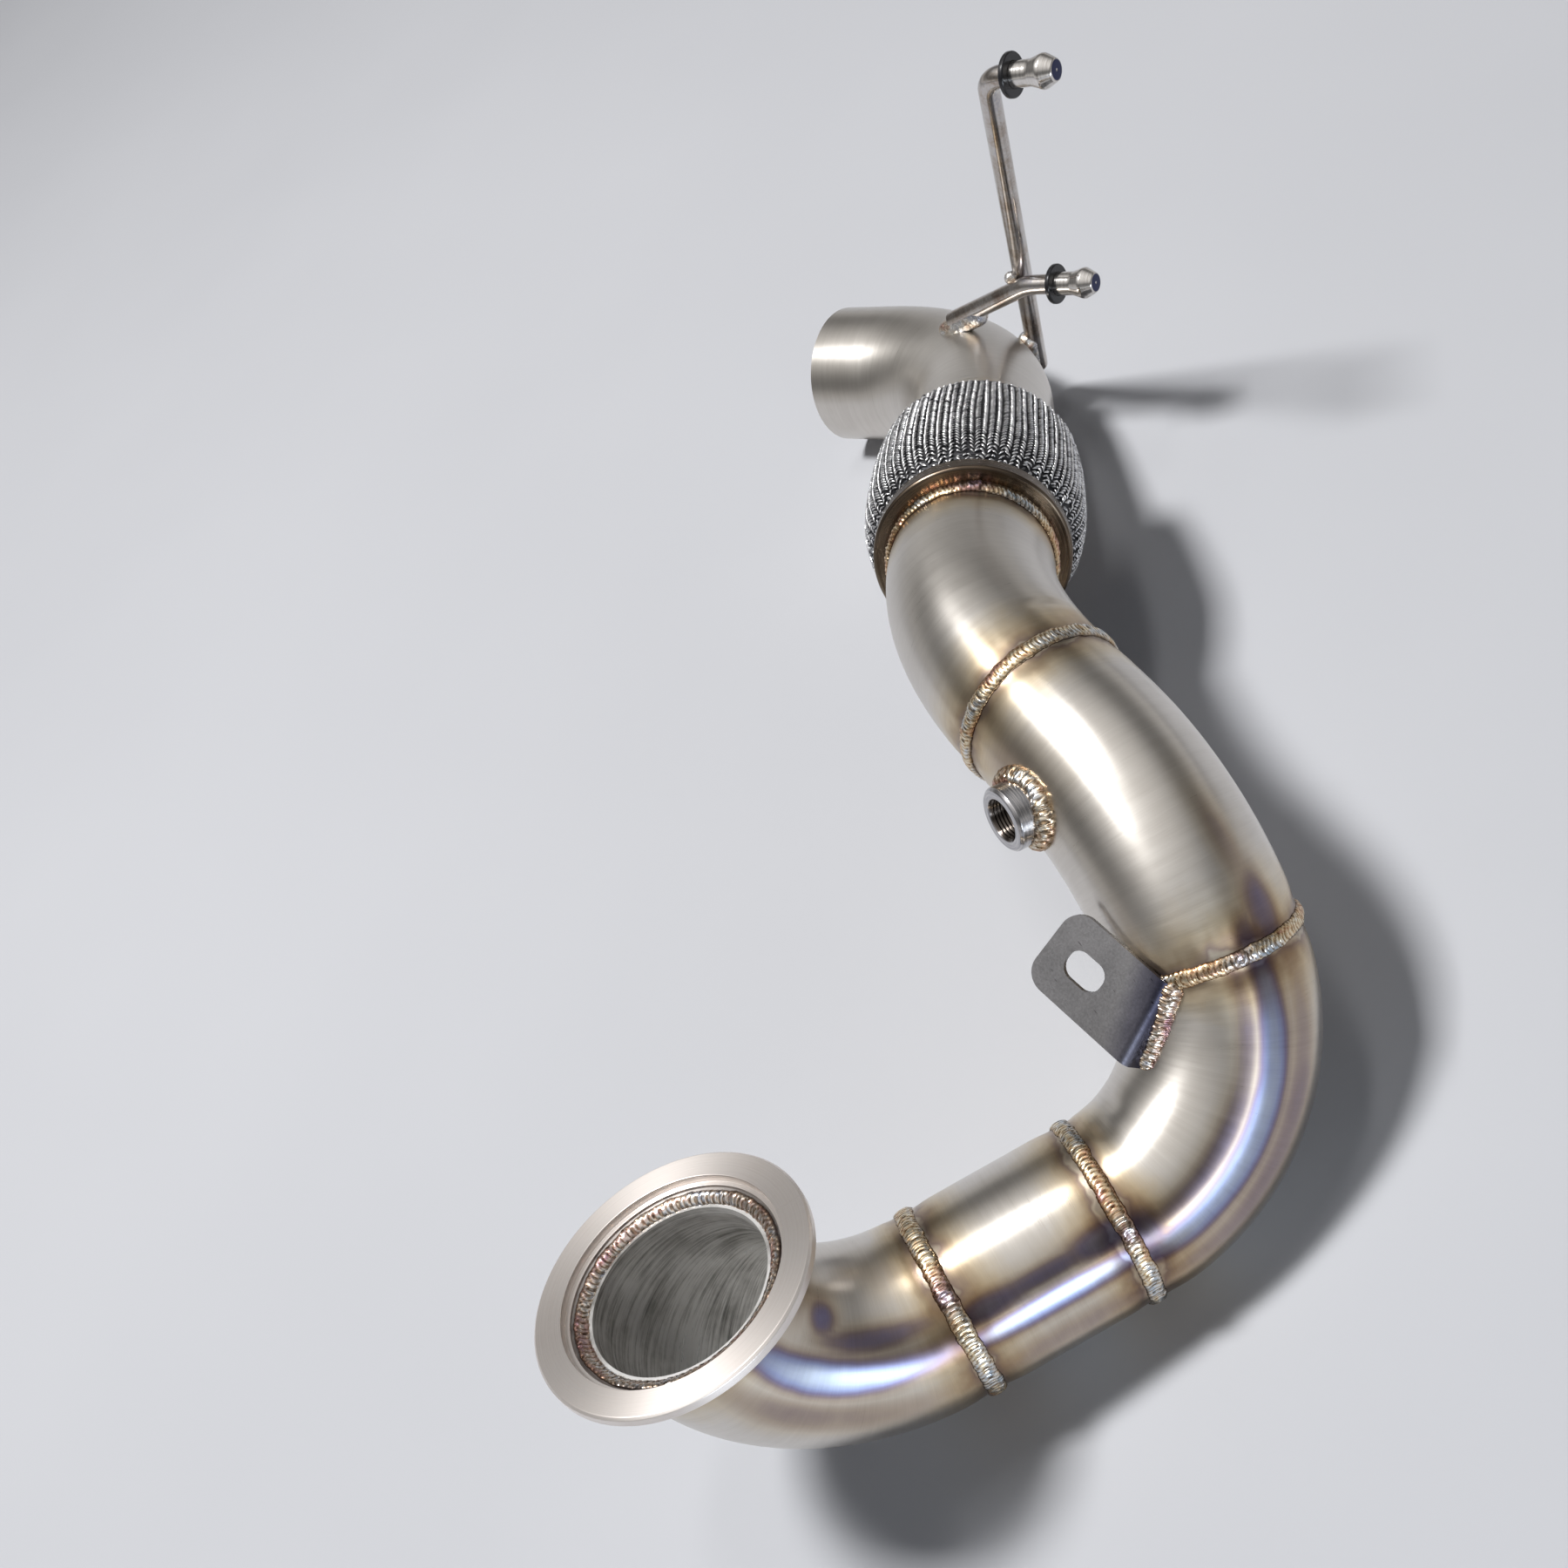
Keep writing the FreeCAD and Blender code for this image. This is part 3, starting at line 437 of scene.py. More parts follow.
def laid_bead(name, centres, outs, half_width, height, stands_for, seed, closed=True,
              pitch=0.0021, ripple=0.00040, tie_ins=(), samples=9, violet=0.0):
    """A rippled bead along points on the metal; outs point away from it. Tie-ins are the
    knots where the bead ends on itself, in degrees round it."""
    centres, outs = np.asarray(centres, float), np.asarray(outs, float)
    ahead = np.roll(centres, -1, 0) if closed else np.vstack([centres[1:], centres[-1:]])
    steps = np.linalg.norm(ahead - centres, axis=1)
    length = steps.sum()
    ripples = max(6, int(round(length / pitch)))
    rows = ripples * samples + (not closed)
    travel = np.concatenate([[0.0], np.cumsum(steps)])[:len(centres) + closed]
    wanted = np.linspace(0.0, length, rows, endpoint=not closed)

    def spaced(values):
        looped = np.vstack([values, values[:1]]) if closed else values
        return np.stack([np.interp(wanted, travel, looped[:, k]) for k in range(3)], -1)

    middle, out = spaced(centres), spaced(outs)
    if closed:
        forward = np.roll(middle, -1, 0) - np.roll(middle, 1, 0)
    else:
        forward = np.gradient(middle, axis=0)
    forward /= np.linalg.norm(forward, axis=1, keepdims=True)
    out -= forward * (out * forward).sum(1, keepdims=True)
    out /= np.linalg.norm(out, axis=1, keepdims=True)
    across = np.cross(out, forward)
    side = np.array([-1.0, -0.94, -0.82, -0.62, -0.38, -0.13, 0.13, 0.38, 0.62, 0.82, 0.94, 1.0])
    pace = wanted / length * 2.0 * math.pi
    width = half_width * (1.0 + 0.08 * waver(pace * 7.0, seed) + 0.05 * waver(pace * 23.0, seed + 3.0))
    drift = half_width * 0.08 * waver(pace * 5.0, seed + 5.0)
    if not closed:
        reach = np.clip(np.minimum(wanted, length - wanted) / half_width, 0.0, 1.0)
        width = width * np.sqrt(reach * (2.0 - reach) + 0.003)
    # Crescents that trail back from the middle to the toes
    edge = np.abs(side[None, :])
    phase = (wanted / length * ripples + 0.3 * waver(pace * 31.0, seed + 7.0))[:, None]
    phase = phase - 1.2 * edge ** 1.8
    wave = np.abs(np.sin(math.pi * phase))
    lift = height * (1.0 - edge ** 3.0) * (1.0 + 0.12 * waver(pace * 11.0, seed + 9.0))[:, None]
    lift = lift * (width / half_width)[:, None]
    lift = lift + ripple * (wave ** 0.6 - 0.6) * np.minimum(1.0, 1.7 * (1.0 - edge ** 3))
    # Painted shade for the valleys between the ripples and for the toes
    shade_depth = np.clip(1.0 - wave * 1.7, 0.0, 1.0) ** 0.8
    shade_depth = np.maximum(shade_depth, np.clip((edge - 0.74) / 0.26, 0.0, 1.0) ** 1.4)
    stain = np.full((rows, len(side)), violet)
    for place in tie_ins:
        gap = np.abs(np.angle(np.exp(1j * (pace - math.radians(place))))) / (2.0 * math.pi) * length
        spot = np.sqrt(gap[:, None] ** 2 + (side[None, :] * half_width) ** 2) / (half_width * 0.80)
        lift = lift + 0.0005 * np.exp(-(spot - 0.7) ** 2 / 0.10) - 0.0003 * np.exp(-spot ** 2 / 0.15)
        # Painted shade ringing the tie-in's crater
        shade_depth = np.maximum(shade_depth * np.clip(spot * 1.2, 0.0, 1.0), np.exp(-(spot - 1.2) ** 2 / 0.03) * 0.8)
        stain = np.maximum(stain, np.exp(-(spot / 1.9) ** 2))
    lift = lift - 0.0004 * (edge > 0.97)
    spread = side[None, :] * width[:, None] + drift[:, None]
    top = middle[:, None] + across[:, None] * spread[..., None] + out[:, None] * lift[..., None]
    under_side, sunk = np.array([0.8, -0.8]), 0.0008
    under_spread = under_side[None, :] * width[:, None]
    under = (middle - out * sunk)[:, None] + across[:, None] * under_spread[..., None]
    points = np.concatenate([top, under], 1)
    columns = len(side) + 2
    shade_depth = np.concatenate([np.broadcast_to(shade_depth, (rows, columns - 2)), np.ones((rows, 2))], 1)
    laid = np.stack([np.broadcast_to(wanted[:, None], (rows, columns)),
                     np.broadcast_to(np.append(side, under_side) * half_width, (rows, columns)),
                     np.full((rows, columns), seed * 7.0)], -1)
    faces, grain = net(rows, columns, closed)
    stain = np.concatenate([stain, np.full((rows, 2), violet)], 1)
    shape_piece(name, points.reshape(-1, 3), faces[:, ::-1], rippled_bead, stands_for,
                {"laid": laid.reshape(-1, 3), "bead_shade": shade_depth.ravel(), "violet": stain.ravel()})


def spokes(here):
    # Directions square to the tube's line, all the way round it
    turn = full_turn(240)
    return np.outer(np.cos(turn), here[:3, 1]) + np.outer(np.sin(turn), here[:3, 2])


def ring_bead(name, seam, node, seed, half_width, height=0.0013, tie_ins=()):
    here = np.array(seam)
    outs = spokes(here)
    laid_bead(name, here[:3, 3] + outs * (tube_radius - 0.0002), outs, half_width, height, [node],
              seed, tie_ins=tie_ins)


ring_bead("seam_bead_1", seam_1, "seam_weld_1", 1.3, 0.0041, tie_ins=[39.0])
ring_bead("seam_bead_2", seam_2, "seam_weld_2", 2.9, 0.0038, tie_ins=[58.0])
ring_bead("seam_bead_3", seam_3, "seam_weld_3", 4.1, 0.0035, tie_ins=[66.0])
ring_bead("seam_bead_4", seam_4, "seam_weld_4", 5.7, 0.0040, tie_ins=[200.0])
ring_bead("seam_bead_5", further(seam_5, 0.0004), "seam_weld_5", 7.2, 0.0045, 0.0021, [84.0])
ring_bead("seam_bead_6", seam_6, "seam_weld_6", 8.8, 0.0040, tie_ins=[10.0])

# The bead inside the ring faces back to the mouth and covers the end of the tube
mouth = np.array(further(inlet_face, 0.0067))
mouth_outs = spokes(mouth)
laid_bead("inlet_bead", mouth[:3, 3] + mouth_outs * 0.0400, -0.75 * mouth[:3, 0] - 0.66 * mouth_outs,
          0.0034, 0.0012, ["inlet_weld"], 11.0, pitch=0.0026, ripple=0.0005, violet=0.55)

# Sensor bung
# A turned boss with an M18 thread, coped to the tube and welded round its foot.
bung_arc_angle, bung_side_angle = 38.9, 90.4
bung_travel = sensor_run[0] + math.radians(bung_arc_angle) * sensor_run[1]
bung_around = 180.0 - bung_side_angle + sensor_run[3]
bung_face = tube_radius + 0.0110
bung_radius, thread_radius, thread_pitch = 0.0137, 0.0082, 0.0015


def on_skin(place, run, travel, around):
    # Point on the outside of a length of tube, and the direction out of it
    here = np.array(along_run(place, run, travel))
    turn = math.radians(around)
    out = here[:3, 1] * math.cos(turn) + here[:3, 2] * math.sin(turn)
    return here[:3, 3] + out * tube_radius, out


bung_line = along_run(seam_3, sensor_run, bung_travel)
bung_out = Vector(on_skin(seam_3, sensor_run, bung_travel, bung_around)[1])
bung_along = bung_line.to_3x3().col[0]
bung_place = Matrix((bung_out, bung_along, bung_out.cross(bung_along))).transposed().to_4x4()
bung_place.translation = bung_line.translation


def cope_and_thread(along, radius, turns):
    sideways = np.minimum(np.abs(radius * np.sin(turns)), tube_radius)
    skin = np.sqrt(tube_radius ** 2 - sideways ** 2) - 0.0009
    threaded = (radius < 0.0093) & (along > tube_radius - 0.004) & (along < bung_face - 0.0011)
    groove = np.abs(((along / thread_pitch - turns / (2.0 * math.pi)) % 1.0) - 0.5) * 2.0
    return np.maximum(along, skin), radius + np.where(threaded, 0.0007 * groove, 0.0)


bore_line = [(bung_face - 0.0012 - 0.00019 * i, thread_radius) for i in range(62)]
bung_profile = [(0.0270, thread_radius), (0.0270, bung_radius), (bung_face - 0.0012, bung_radius),
                (bung_face, 0.0125), (bung_face, 0.0094), *bore_line]
bung_steel = Finish("turned_bung", 1.0, 0.20, 0.5)
bung_at = bung_steel.mark("unbent", "Vector")
bung_grain = bung_steel.noise(bung_at, (1500.0, 1500.0, 30.0), 3.0, 0.6)
bung_colour = bung_steel.colours(bung_grain, [(0.35, (0.36, 0.36, 0.38)), (0.65, (0.62, 0.60, 0.60))])
# The bore inside the thread is painted near black: painted shade for the deep hole
from_line = bung_steel.add("ShaderNodeSeparateXYZ", None, _0=bung_at).outputs[1]
bore_shade = bung_steel.between(from_line, 0.0090, 0.0095, 1.0, 0.0)
bung_steel.dress(bung_steel.tinted(bung_colour, (0.10, 0.085, 0.075), bore_shade, "MIX"),
                 bung_steel.between(bung_grain, 0.3, 0.7, 0.15, 0.28), bung_grain, 0.00003, 0.5)
turned_piece("sensor_boss", bung_place, bung_profile, bung_steel.material,
             ["sensor_bung"], around=96, trim=cope_and_thread, plain=range(6, 66))

foot_radius = 0.0150
bung_centres, bung_outs = [], []
for swing in full_turn(90):
    along_part, round_part = foot_radius * math.cos(swing), foot_radius * math.sin(swing)
    point, out = on_skin(seam_3, sensor_run, bung_travel + along_part,
                         bung_around + math.degrees(round_part / tube_radius))
    away = Vector(point) - bung_line.translation
    away -= bung_out * away.dot(bung_out)
    bung_centres.append(point + np.array(bung_out) * 0.0016)
    bung_outs.append(np.array(out) * 0.6 + np.array(away.normalized()) * 0.8)
laid_bead("bung_bead", bung_centres, bung_outs, 0.0043, 0.0024, ["bung_weld"], 13.0, pitch=0.0040,
          ripple=0.0010, samples=12, violet=0.2)

# Flex joint
# Two pressed collars carry a plain liner and a convoluted bellows, hidden under a sleeve
# knitted from stainless wire, tucked under the front skirt and drawn over the rear one.
collar = Finish("bronzed_collar", 1.0, 0.24, 0.5)
collar_place = collar.mark("unbent", "Vector")
collar_grain = collar.noise(collar_place, (1300.0, 1300.0, 20.0), 3.0, 0.6)
collar_cloud = collar.noise(collar_place, (60.0, 60.0, 40.0), 3.0, 0.6)
bronzed_collar = collar.dress(
    collar.colours(collar.plus(collar.times(collar_grain, 0.4), collar.times(collar_cloud, 0.6)), [
        (0.34, (0.075, 0.056, 0.042)), (0.52, (0.14, 0.108, 0.080)), (0.70, (0.23, 0.185, 0.140))]),
    collar.between(collar_grain, 0.3, 0.7, 0.20, 0.32), collar_grain, 0.00003, 0.3)


def collar_profile(outer_radius):
    skirt_inside = outer_radius - 0.0016
    return [(0.0, bore_radius), (0.0, tube_radius), (0.0050, tube_radius),
            (0.0050, outer_radius - 0.0010), (0.0060, outer_radius), (0.0140, outer_radius),
            (0.0140, skirt_inside), (0.0070, skirt_inside), (0.0070, bore_radius)]


turned_piece("front_collar", seam_5, collar_profile(0.0458), bronzed_collar,
             ["flex_front_collar"], edge=0.0007)
turned_piece("rear_collar", seam_6 @ Matrix.Rotation(math.pi, 4, "Z"), collar_profile(0.0486),
             bronzed_collar, ["flex_rear_collar"], edge=0.0007)


def coat(nodes, material):
    # These solids are shown as they are, with a material of their own
    for name in nodes:
        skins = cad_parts[name].data.materials
        skins.clear()
        skins.append(material)


coat(("flex_liner", "flex_bellows"), bronzed_collar)

wale_count = 52
course_pitch = 0.0022
sleeve_start, sleeve_end = 0.0126, 0.1006
sleeve_middle_radius = 0.0528


def sleeve_radius(along):
    # Narrow at the front, a little wider at the rear, and barrel shaped between
    share = np.clip((along - 0.0125) / 0.088, 0.0, 1.0)
    ends = 0.0440 + 0.0064 * share
    return ends + (sleeve_middle_radius - ends) * (1.0 - np.abs(2.0 * share - 1.0) ** 3.2)


# A dark sheet behind the loops: painted shade for the inside of the sleeve
knit_shade = Finish("painted_knit_shade", 1.0, 0.5)
knit_shade_grain = knit_shade.noise(knit_shade.mark("unbent", "Vector"), (900.0, 900.0, 60.0), 2.0)
knit_shade.dress(knit_shade.colours(knit_shade_grain, [(0.3, (0.02, 0.02, 0.023)), (0.7, (0.09, 0.09, 0.095))]),
              None, knit_shade_grain, 0.0002, 0.8)
knit_shade_line = [(a, float(sleeve_radius(a)) - 0.0015) for a in np.linspace(0.0072, 0.1004, 40)]
knit_shade_line += [(a, float(sleeve_radius(a)) - 0.0018) for a in np.linspace(0.1004, 0.0072, 12)]
turned_piece("sleeve_shade_sheet", seam_5, knit_shade_line, knit_shade.material,
             plain=range(1, len(knit_shade_line) - 1))

# Each stitch is a V of two slanted legs; each leg is a flat bundle of fine wires
chance = np.random.default_rng(7)
courses = int((sleeve_end - sleeve_start) / course_pitch)
stitch_grid = np.meshgrid(np.arange(wale_count), np.arange(courses), (-1.0, 1.0), indexing="ij")
wale, course, leg = (values.ravel() for values in stitch_grid)
legs = len(wale)
from_front = course * course_pitch
# Gathered and rucked beside the front collar, and even elsewhere
ruck = np.exp(-(from_front / 0.010) ** 2) + 0.4 * np.exp(-((0.086 - from_front) / 0.004) ** 2)
loose = 0.16 + 0.9 * ruck
jolt = chance.normal(size=(6, legs))
wale_jolt = chance.normal(size=(wale_count, 4))
sway = 0.00030 * np.sin(from_front * 80.0 + wale_jolt[wale, 0] * 2.0) * wale_jolt[wale, 1]
leg_rows, leg_sides = 5, 6
stages = np.linspace(0.0, 1.0, leg_rows)
ring_turn = full_turn(leg_sides)
# Sideways, lengthwise and outward run of each leg, and its thickness
reach = (0.00036 + 0.00245 * stages[None, :] ** 0.9) * leg[:, None]
reach = reach * (1.0 + 0.10 * loose * jolt[0])[:, None]
reach = reach + (sway + 0.0006 * ruck * jolt[1])[:, None]
rise = -0.0001 + 0.0021 * stages[None, :] * (1.0 - 0.45 * ruck * np.abs(jolt[5]))[:, None]
rise = rise + (0.0003 * loose * jolt[2])[:, None]
arch = np.sin(math.pi * (0.10 + 0.80 * stages))[None, :]
proud = -0.00162 + 0.00108 * arch + 0.00020 * stages[None, :] + (0.00016 * loose * jolt[4])[:, None]
proud = proud + (0.00010 * wale_jolt[wale, 2])[:, None] + (0.0004 * ruck * np.abs(jolt[3]))[:, None]
thick = (0.00064 * (1.0 + 0.08 * wale_jolt[wale, 3] + 0.10 * jolt[3]))[:, None]
thick = thick * (0.25 + 0.75 * arch)
mean_radius = 0.0500
along = np.clip(sleeve_start + from_front[:, None] + rise, 0.0118, 0.1010)
radius = sleeve_radius(along) + proud
angle = wale[:, None] * 2.0 * math.pi / wale_count + reach / mean_radius
slope = np.arctan2(np.gradient(reach, axis=1), np.gradient(rise + 0.0 * reach, axis=1))[..., None]
lateral = thick[..., None] * np.cos(ring_turn)
height = thick[..., None] * np.sin(ring_turn) * 0.72
point_angle = angle[..., None] + lateral * np.cos(slope) / mean_radius
point_along = np.clip(along[..., None] - lateral * np.sin(slope), 0.0116, 0.1012)
point_radius = np.minimum(radius[..., None] + height, sleeve_radius(point_along) - 0.00002)
local = np.stack([point_along, point_radius * np.cos(point_angle),
                  point_radius * np.sin(point_angle)], -1)
one_leg, _ = net(leg_rows, leg_sides, False, True)
leg_starts = np.arange(legs) * leg_rows * leg_sides
leg_faces = (one_leg[None] + leg_starts[:, None, None]).reshape(-1, 4)
# Painted shade: the ends and undersides of the legs are darkened, and each leg by a random amount more,
# standing for the uneven glint of the wires
ends_shade = np.clip(1.0 - arch * 1.2, 0.0, 1.0)[..., None]
depth = 0.72 * ends_shade + 0.50 * np.clip(0.15 - np.sin(ring_turn), 0.0, 1.0)
depth = depth + (0.22 * np.abs(jolt[2]))[:, None, None]
depth = np.broadcast_to(depth, local.shape[:3])
wire_place = np.stack([np.broadcast_to(lateral, local.shape[:3]),
                       np.broadcast_to((stages * 0.004)[None, :, None], local.shape[:3]),
                       np.broadcast_to((jolt[0] * 3.0)[:, None, None], local.shape[:3])], -1)
wire = Finish("knitted_wire", 1.0, 0.26)
strand = wire.noise(wire.mark("strand", "Vector"), (3600.0, 120.0, 1.0), 1.0)
# The wire's colour carries that painted shade, from near white to near black
wire_shade_colour = wire.colours(wire.mark("depth"), [
    (0.0, (0.98, 0.98, 0.98)), (0.30, (0.84, 0.84, 0.85)), (0.80, (0.06, 0.06, 0.065))])
strand_colour = wire.colours(strand, [(0.38, (0.50, 0.50, 0.51)), (0.56, (1.0, 1.0, 1.0))])
wire.dress(wire.tinted(wire_shade_colour, strand_colour),
           wire.between(strand, 0.3, 0.7, 0.32, 0.20), strand, 0.00015, 0.8)
shape_piece("knitted_sleeve", placed(local.reshape(-1, 3), seam_5), leg_faces,
            wire.material, ["flex_cover"],
            {"depth": depth.ravel(), "strand": wire_place.reshape(-1, 3)})

# Hanger rods
# Two bright bars of 10 mm, bent and welded to the outlet elbow and tacked to each other
# where they cross; each ends in a bulb nosed pin with a black washer behind it.
bright = Finish("drawn_bar_painted_reflections", 1.0, 0.17)
bar_place = bright.add("ShaderNodeTexCoord").outputs["Object"]
bar_cloud = bright.noise(bar_place, (60.0, 60.0, 45.0), 4.0, 0.6)
bar_fine = bright.noise(bar_place, (900.0, 900.0, 700.0), 3.0, 0.6)
# The bars' colour is clouded brown, grey and blue-grey: painted reflections of the darker room around
# them
bright.dress(
    bright.colours(bright.plus(bright.times(bar_cloud, 0.7), bright.times(bar_fine, 0.3)), [
        (0.34, (0.28, 0.21, 0.17)), (0.45, (0.42, 0.37, 0.33)), (0.56, (0.56, 0.53, 0.51)),
        (0.70, (0.32, 0.31, 0.37))]),
    bright.between(bar_cloud, 0.3, 0.7, 0.12, 0.26), bar_fine, 0.00004, 0.4)
coat(("hanger_rod_long", "hanger_rod_short"), bright.material)

pin_out = Vector((0.60295, -0.79778, 0.0))
long_seat = Vector((0.21504, 0.099657, 0.248868))
short_seat = Vector((0.200786, 0.138734, 0.111264))


def pin_place(seat):
    up = Vector((0.0, 0.0, 1.0))
    place = Matrix((pin_out, up, pin_out.cross(up))).transposed().to_4x4()
    place.translation = seat
    return place


pin_steel = Finish("turned_pin", 1.0, 0.17, 0.4)
pin_at = pin_steel.mark("unbent", "Vector")
pin_grain = pin_steel.noise(pin_at, (1400.0, 1400.0, 24.0), 3.0, 0.6)
pin_along = pin_steel.add("ShaderNodeSeparateXYZ", None, _0=pin_at).outputs[0]
# The flat end face is painted dark blue-black: painted shade standing for a hole in the tip
end_face_shade = pin_steel.between(pin_along, 0.02285, 0.02296)
pin_colour = pin_steel.colours(pin_grain, [(0.35, (0.60, 0.57, 0.54)), (0.65, (0.80, 0.77, 0.74))])
pin_steel.dress(pin_steel.tinted(pin_colour, (0.035, 0.04, 0.09), end_face_shade, "MIX"),
                pin_steel.between(pin_grain, 0.3, 0.7, 0.12, 0.24), pin_grain, 0.00003, 0.5)
pin_profile = [(-0.0015, 0.0001), (-0.0015, 0.0059), (0.0104, 0.0059), (0.0160, 0.0077),
               (0.0174, 0.0077), (0.0230, 0.0048), (0.0230, 0.0001)]
washer_black = Finish("blacked_washer", 0.0, 0.22)
washer_at = washer_black.mark("unbent", "Vector")
washer_grain = washer_black.noise(washer_at, (300.0, 300.0, 60.0), 4.0, 0.6)
washer_black.dress(
    washer_black.colours(washer_grain, [(0.35, (0.008, 0.008, 0.010)), (0.7, (0.022, 0.021, 0.024))]),
    washer_black.between(washer_grain, 0.3, 0.7, 0.12, 0.30), washer_grain, 0.00005, 0.3)
washer_profile = [(-0.0013, 0.0059), (-0.0013, 0.0095), (-0.0008, 0.0100), (0.0008, 0.0100),
                  (0.0013, 0.0095), (0.0013, 0.0059)]
for label, seat in (("long", long_seat), ("short", short_seat)):
    turned_piece("bulb_pin_" + label, pin_place(seat), pin_profile, pin_steel.material,
                 ["hanger_pin_" + label], around=72, edge=0.0009)
    turned_piece("washer_" + label, pin_place(seat), washer_profile, washer_black.material,
                 ["stop_washer_" + label], around=72, edge=0.0004)

# Foot welds and the tack between the rods are small lumps of bead
lump = Finish("lumpy_bead", 1.0, 0.24)
lump_place = lump.add("ShaderNodeTexCoord").outputs["Object"]
lump_dab = lump.noise(lump_place, (420.0, 420.0, 420.0), 3.0, 0.6)
lump_slow = lump.noise(lump_place, (130.0, 130.0, 130.0), 2.0)
lump.dress(
    lump.colours(lump_slow, [
        (0.34, (0.40, 0.41, 0.46)), (0.48, (0.68, 0.66, 0.63)), (0.58, (0.58, 0.48, 0.38)),
        (0.68, (0.44, 0.29, 0.24)), (0.78, (0.24, 0.19, 0.20))]),
    lump.between(lump_dab, 0.3, 0.7, 0.14, 0.34), lump_dab, 0.0012, 0.8)
coat(("hanger_weld_long", "hanger_weld_short", "rod_tack_weld"), lump.material)

# Support bracket
# Folded from 2.5 mm sheet with one rounded slot, its leg coped to the lower elbow and
# welded along the foot; the sheet is dull with a few scratches, and dark blue beside the weld,
# partly heat tint and partly a painted dark reflection on the leg.
sheet = Finish("dull_sheet", 1.0, 0.38)
sheet_place = sheet.add("ShaderNodeTexCoord").outputs["Object"]
sheet_cloud = sheet.noise(sheet_place, (40.0, 40.0, 40.0), 4.0, 0.6)
sheet_fine = sheet.noise(sheet_place, (1200.0, 1200.0, 300.0), 3.0, 0.6)
sheet_marks = sheet.noise(sheet_place, (900.0, 130.0, 260.0), 1.0)
sheet_colour = sheet.colours(sheet_cloud, [(0.35, (0.235, 0.230, 0.235)), (0.65, (0.30, 0.293, 0.30))])
# The line where the leg meets the elbow; the sheet is darkened blue by its distance from it, heat tint
# and painted dark reflection together
foot_points = np.array([(0.038441, -0.240654, 0.108086), (0.031167, -0.242176, 0.101410),
                        (0.024231, -0.243605, 0.094115), (0.016965, -0.245125, 0.087427),
                        (0.009149, -0.246799, 0.081751)])
foot_way = (foot_points[4] - foot_points[0]) / np.linalg.norm(foot_points[4] - foot_points[0])
from_foot = sheet.add("ShaderNodeVectorMath", {"operation": "SUBTRACT"},
                      _0=sheet_place, _1=foot_points[2]).outputs[0]
round_foot = sheet.add("ShaderNodeVectorMath", {"operation": "CROSS_PRODUCT"},
                       _0=from_foot, _1=foot_way).outputs[0]
foot_gap = sheet.add("ShaderNodeVectorMath", {"operation": "LENGTH"}, _0=round_foot).outputs["Value"]
foot_share = sheet.plus(sheet.between(foot_gap, 0.003, 0.026), sheet.times(sheet_cloud, 0.2))
# Heat tint and painted dark reflection beside the weld
foot_tint_and_shade = sheet.colours(foot_share, [
    (0.10, (0.16, 0.17, 0.30)), (0.30, (0.20, 0.20, 0.28)), (0.55, (0.50, 0.50, 0.58)),
    (0.80, (1.0, 1.0, 1.0))])
scratches = sheet.colours(sheet_marks, [(0.74, (1.0, 1.0, 1.0)), (0.80, (0.35, 0.33, 0.35))])
sheet.dress(sheet.tinted(sheet.tinted(sheet_colour, scratches), foot_tint_and_shade),
            sheet.between(sheet_fine, 0.3, 0.7, 0.34, 0.46), sheet_fine, 0.00004, 0.5)
coat(["support_bracket"], sheet.material)

# The bead faces half way between the elbow's skin and the front of the leg
leg_front = np.array((0.374, -0.870, -0.321))
share = np.linspace(0.0, 4.0, 60)
foot_line = np.stack([np.interp(share, range(5), foot_points[:, k]) for k in range(3)], -1)
foot_outs = []
for point in foot_line:
    nearest = min((along_run(seam_2, lower_run, t) for t in np.linspace(0.05, 0.124, 60)),
                  key=lambda place: (place.translation - Vector(point)).length)
    skin_out = np.array((Vector(point) - nearest.translation).normalized())
    foot_outs.append(skin_out * 0.7 + leg_front * 0.7)
laid_bead("bracket_bead", foot_line, foot_outs, 0.0050, 0.0036, ["bracket_weld"], 17.0,
          closed=False, pitch=0.0030, ripple=0.0009, samples=12, violet=0.45)

# Floor, light and view
# A pale seamless floor under two ceiling lamps and a cool window behind the camera.
floor_finish = Finish("pale_floor", 0.0, 0.85)
floor_place = floor_finish.add("ShaderNodeTexCoord").outputs["Object"]
floor_cloud = floor_finish.noise(floor_place, (2.0, 2.0, 2.0), 3.0)
floor_finish.dress(floor_finish.colours(floor_cloud, [
    (0.3, (0.605, 0.612, 0.640)), (0.7, (0.635, 0.642, 0.670))]))
floor_reach = 8.0
floor_mesh = bpy.data.meshes.new("floor")
floor_corners = [(-floor_reach, -floor_reach, 0), (floor_reach, -floor_reach, 0),
                 (floor_reach, floor_reach, 0), (-floor_reach, floor_reach, 0)]
floor_mesh.from_pydata(floor_corners, [], [(0, 1, 2, 3)])
floor_mesh.materials.append(floor_finish.material)
floor = bpy.data.objects.new("floor", floor_mesh)
bpy.context.scene.collection.objects.link(floor)

# The room is pale overhead and low down, and darker at middle heights all round, which metal shows as
# soft bands
world = bpy.data.worlds.new("studio")
bpy.context.scene.world = world
world.use_nodes = True
room = world.node_tree
surround = room.nodes["Background"]
facing = room.nodes.new("ShaderNodeSeparateXYZ")
room.links.new(room.nodes.new("ShaderNodeTexCoord").outputs["Generated"], facing.inputs[0])
shades = room.nodes.new("ShaderNodeValToRGB")
room.links.new(facing.outputs["Z"], shades.inputs[0])
room_bands = [(0.02, 0.60), (0.10, 0.50), (0.30, 0.16), (0.52, 0.20), (0.74, 0.62), (0.95, 0.95)]
shades.color_ramp.elements.remove(shades.color_ramp.elements[1])
for i, (height, level) in enumerate(room_bands):
    band = shades.color_ramp.elements[0] if i == 0 else shades.color_ramp.elements.new(height)
    band.position = height
    band.color = (level, level * 0.985, level * 0.97, 1.0)
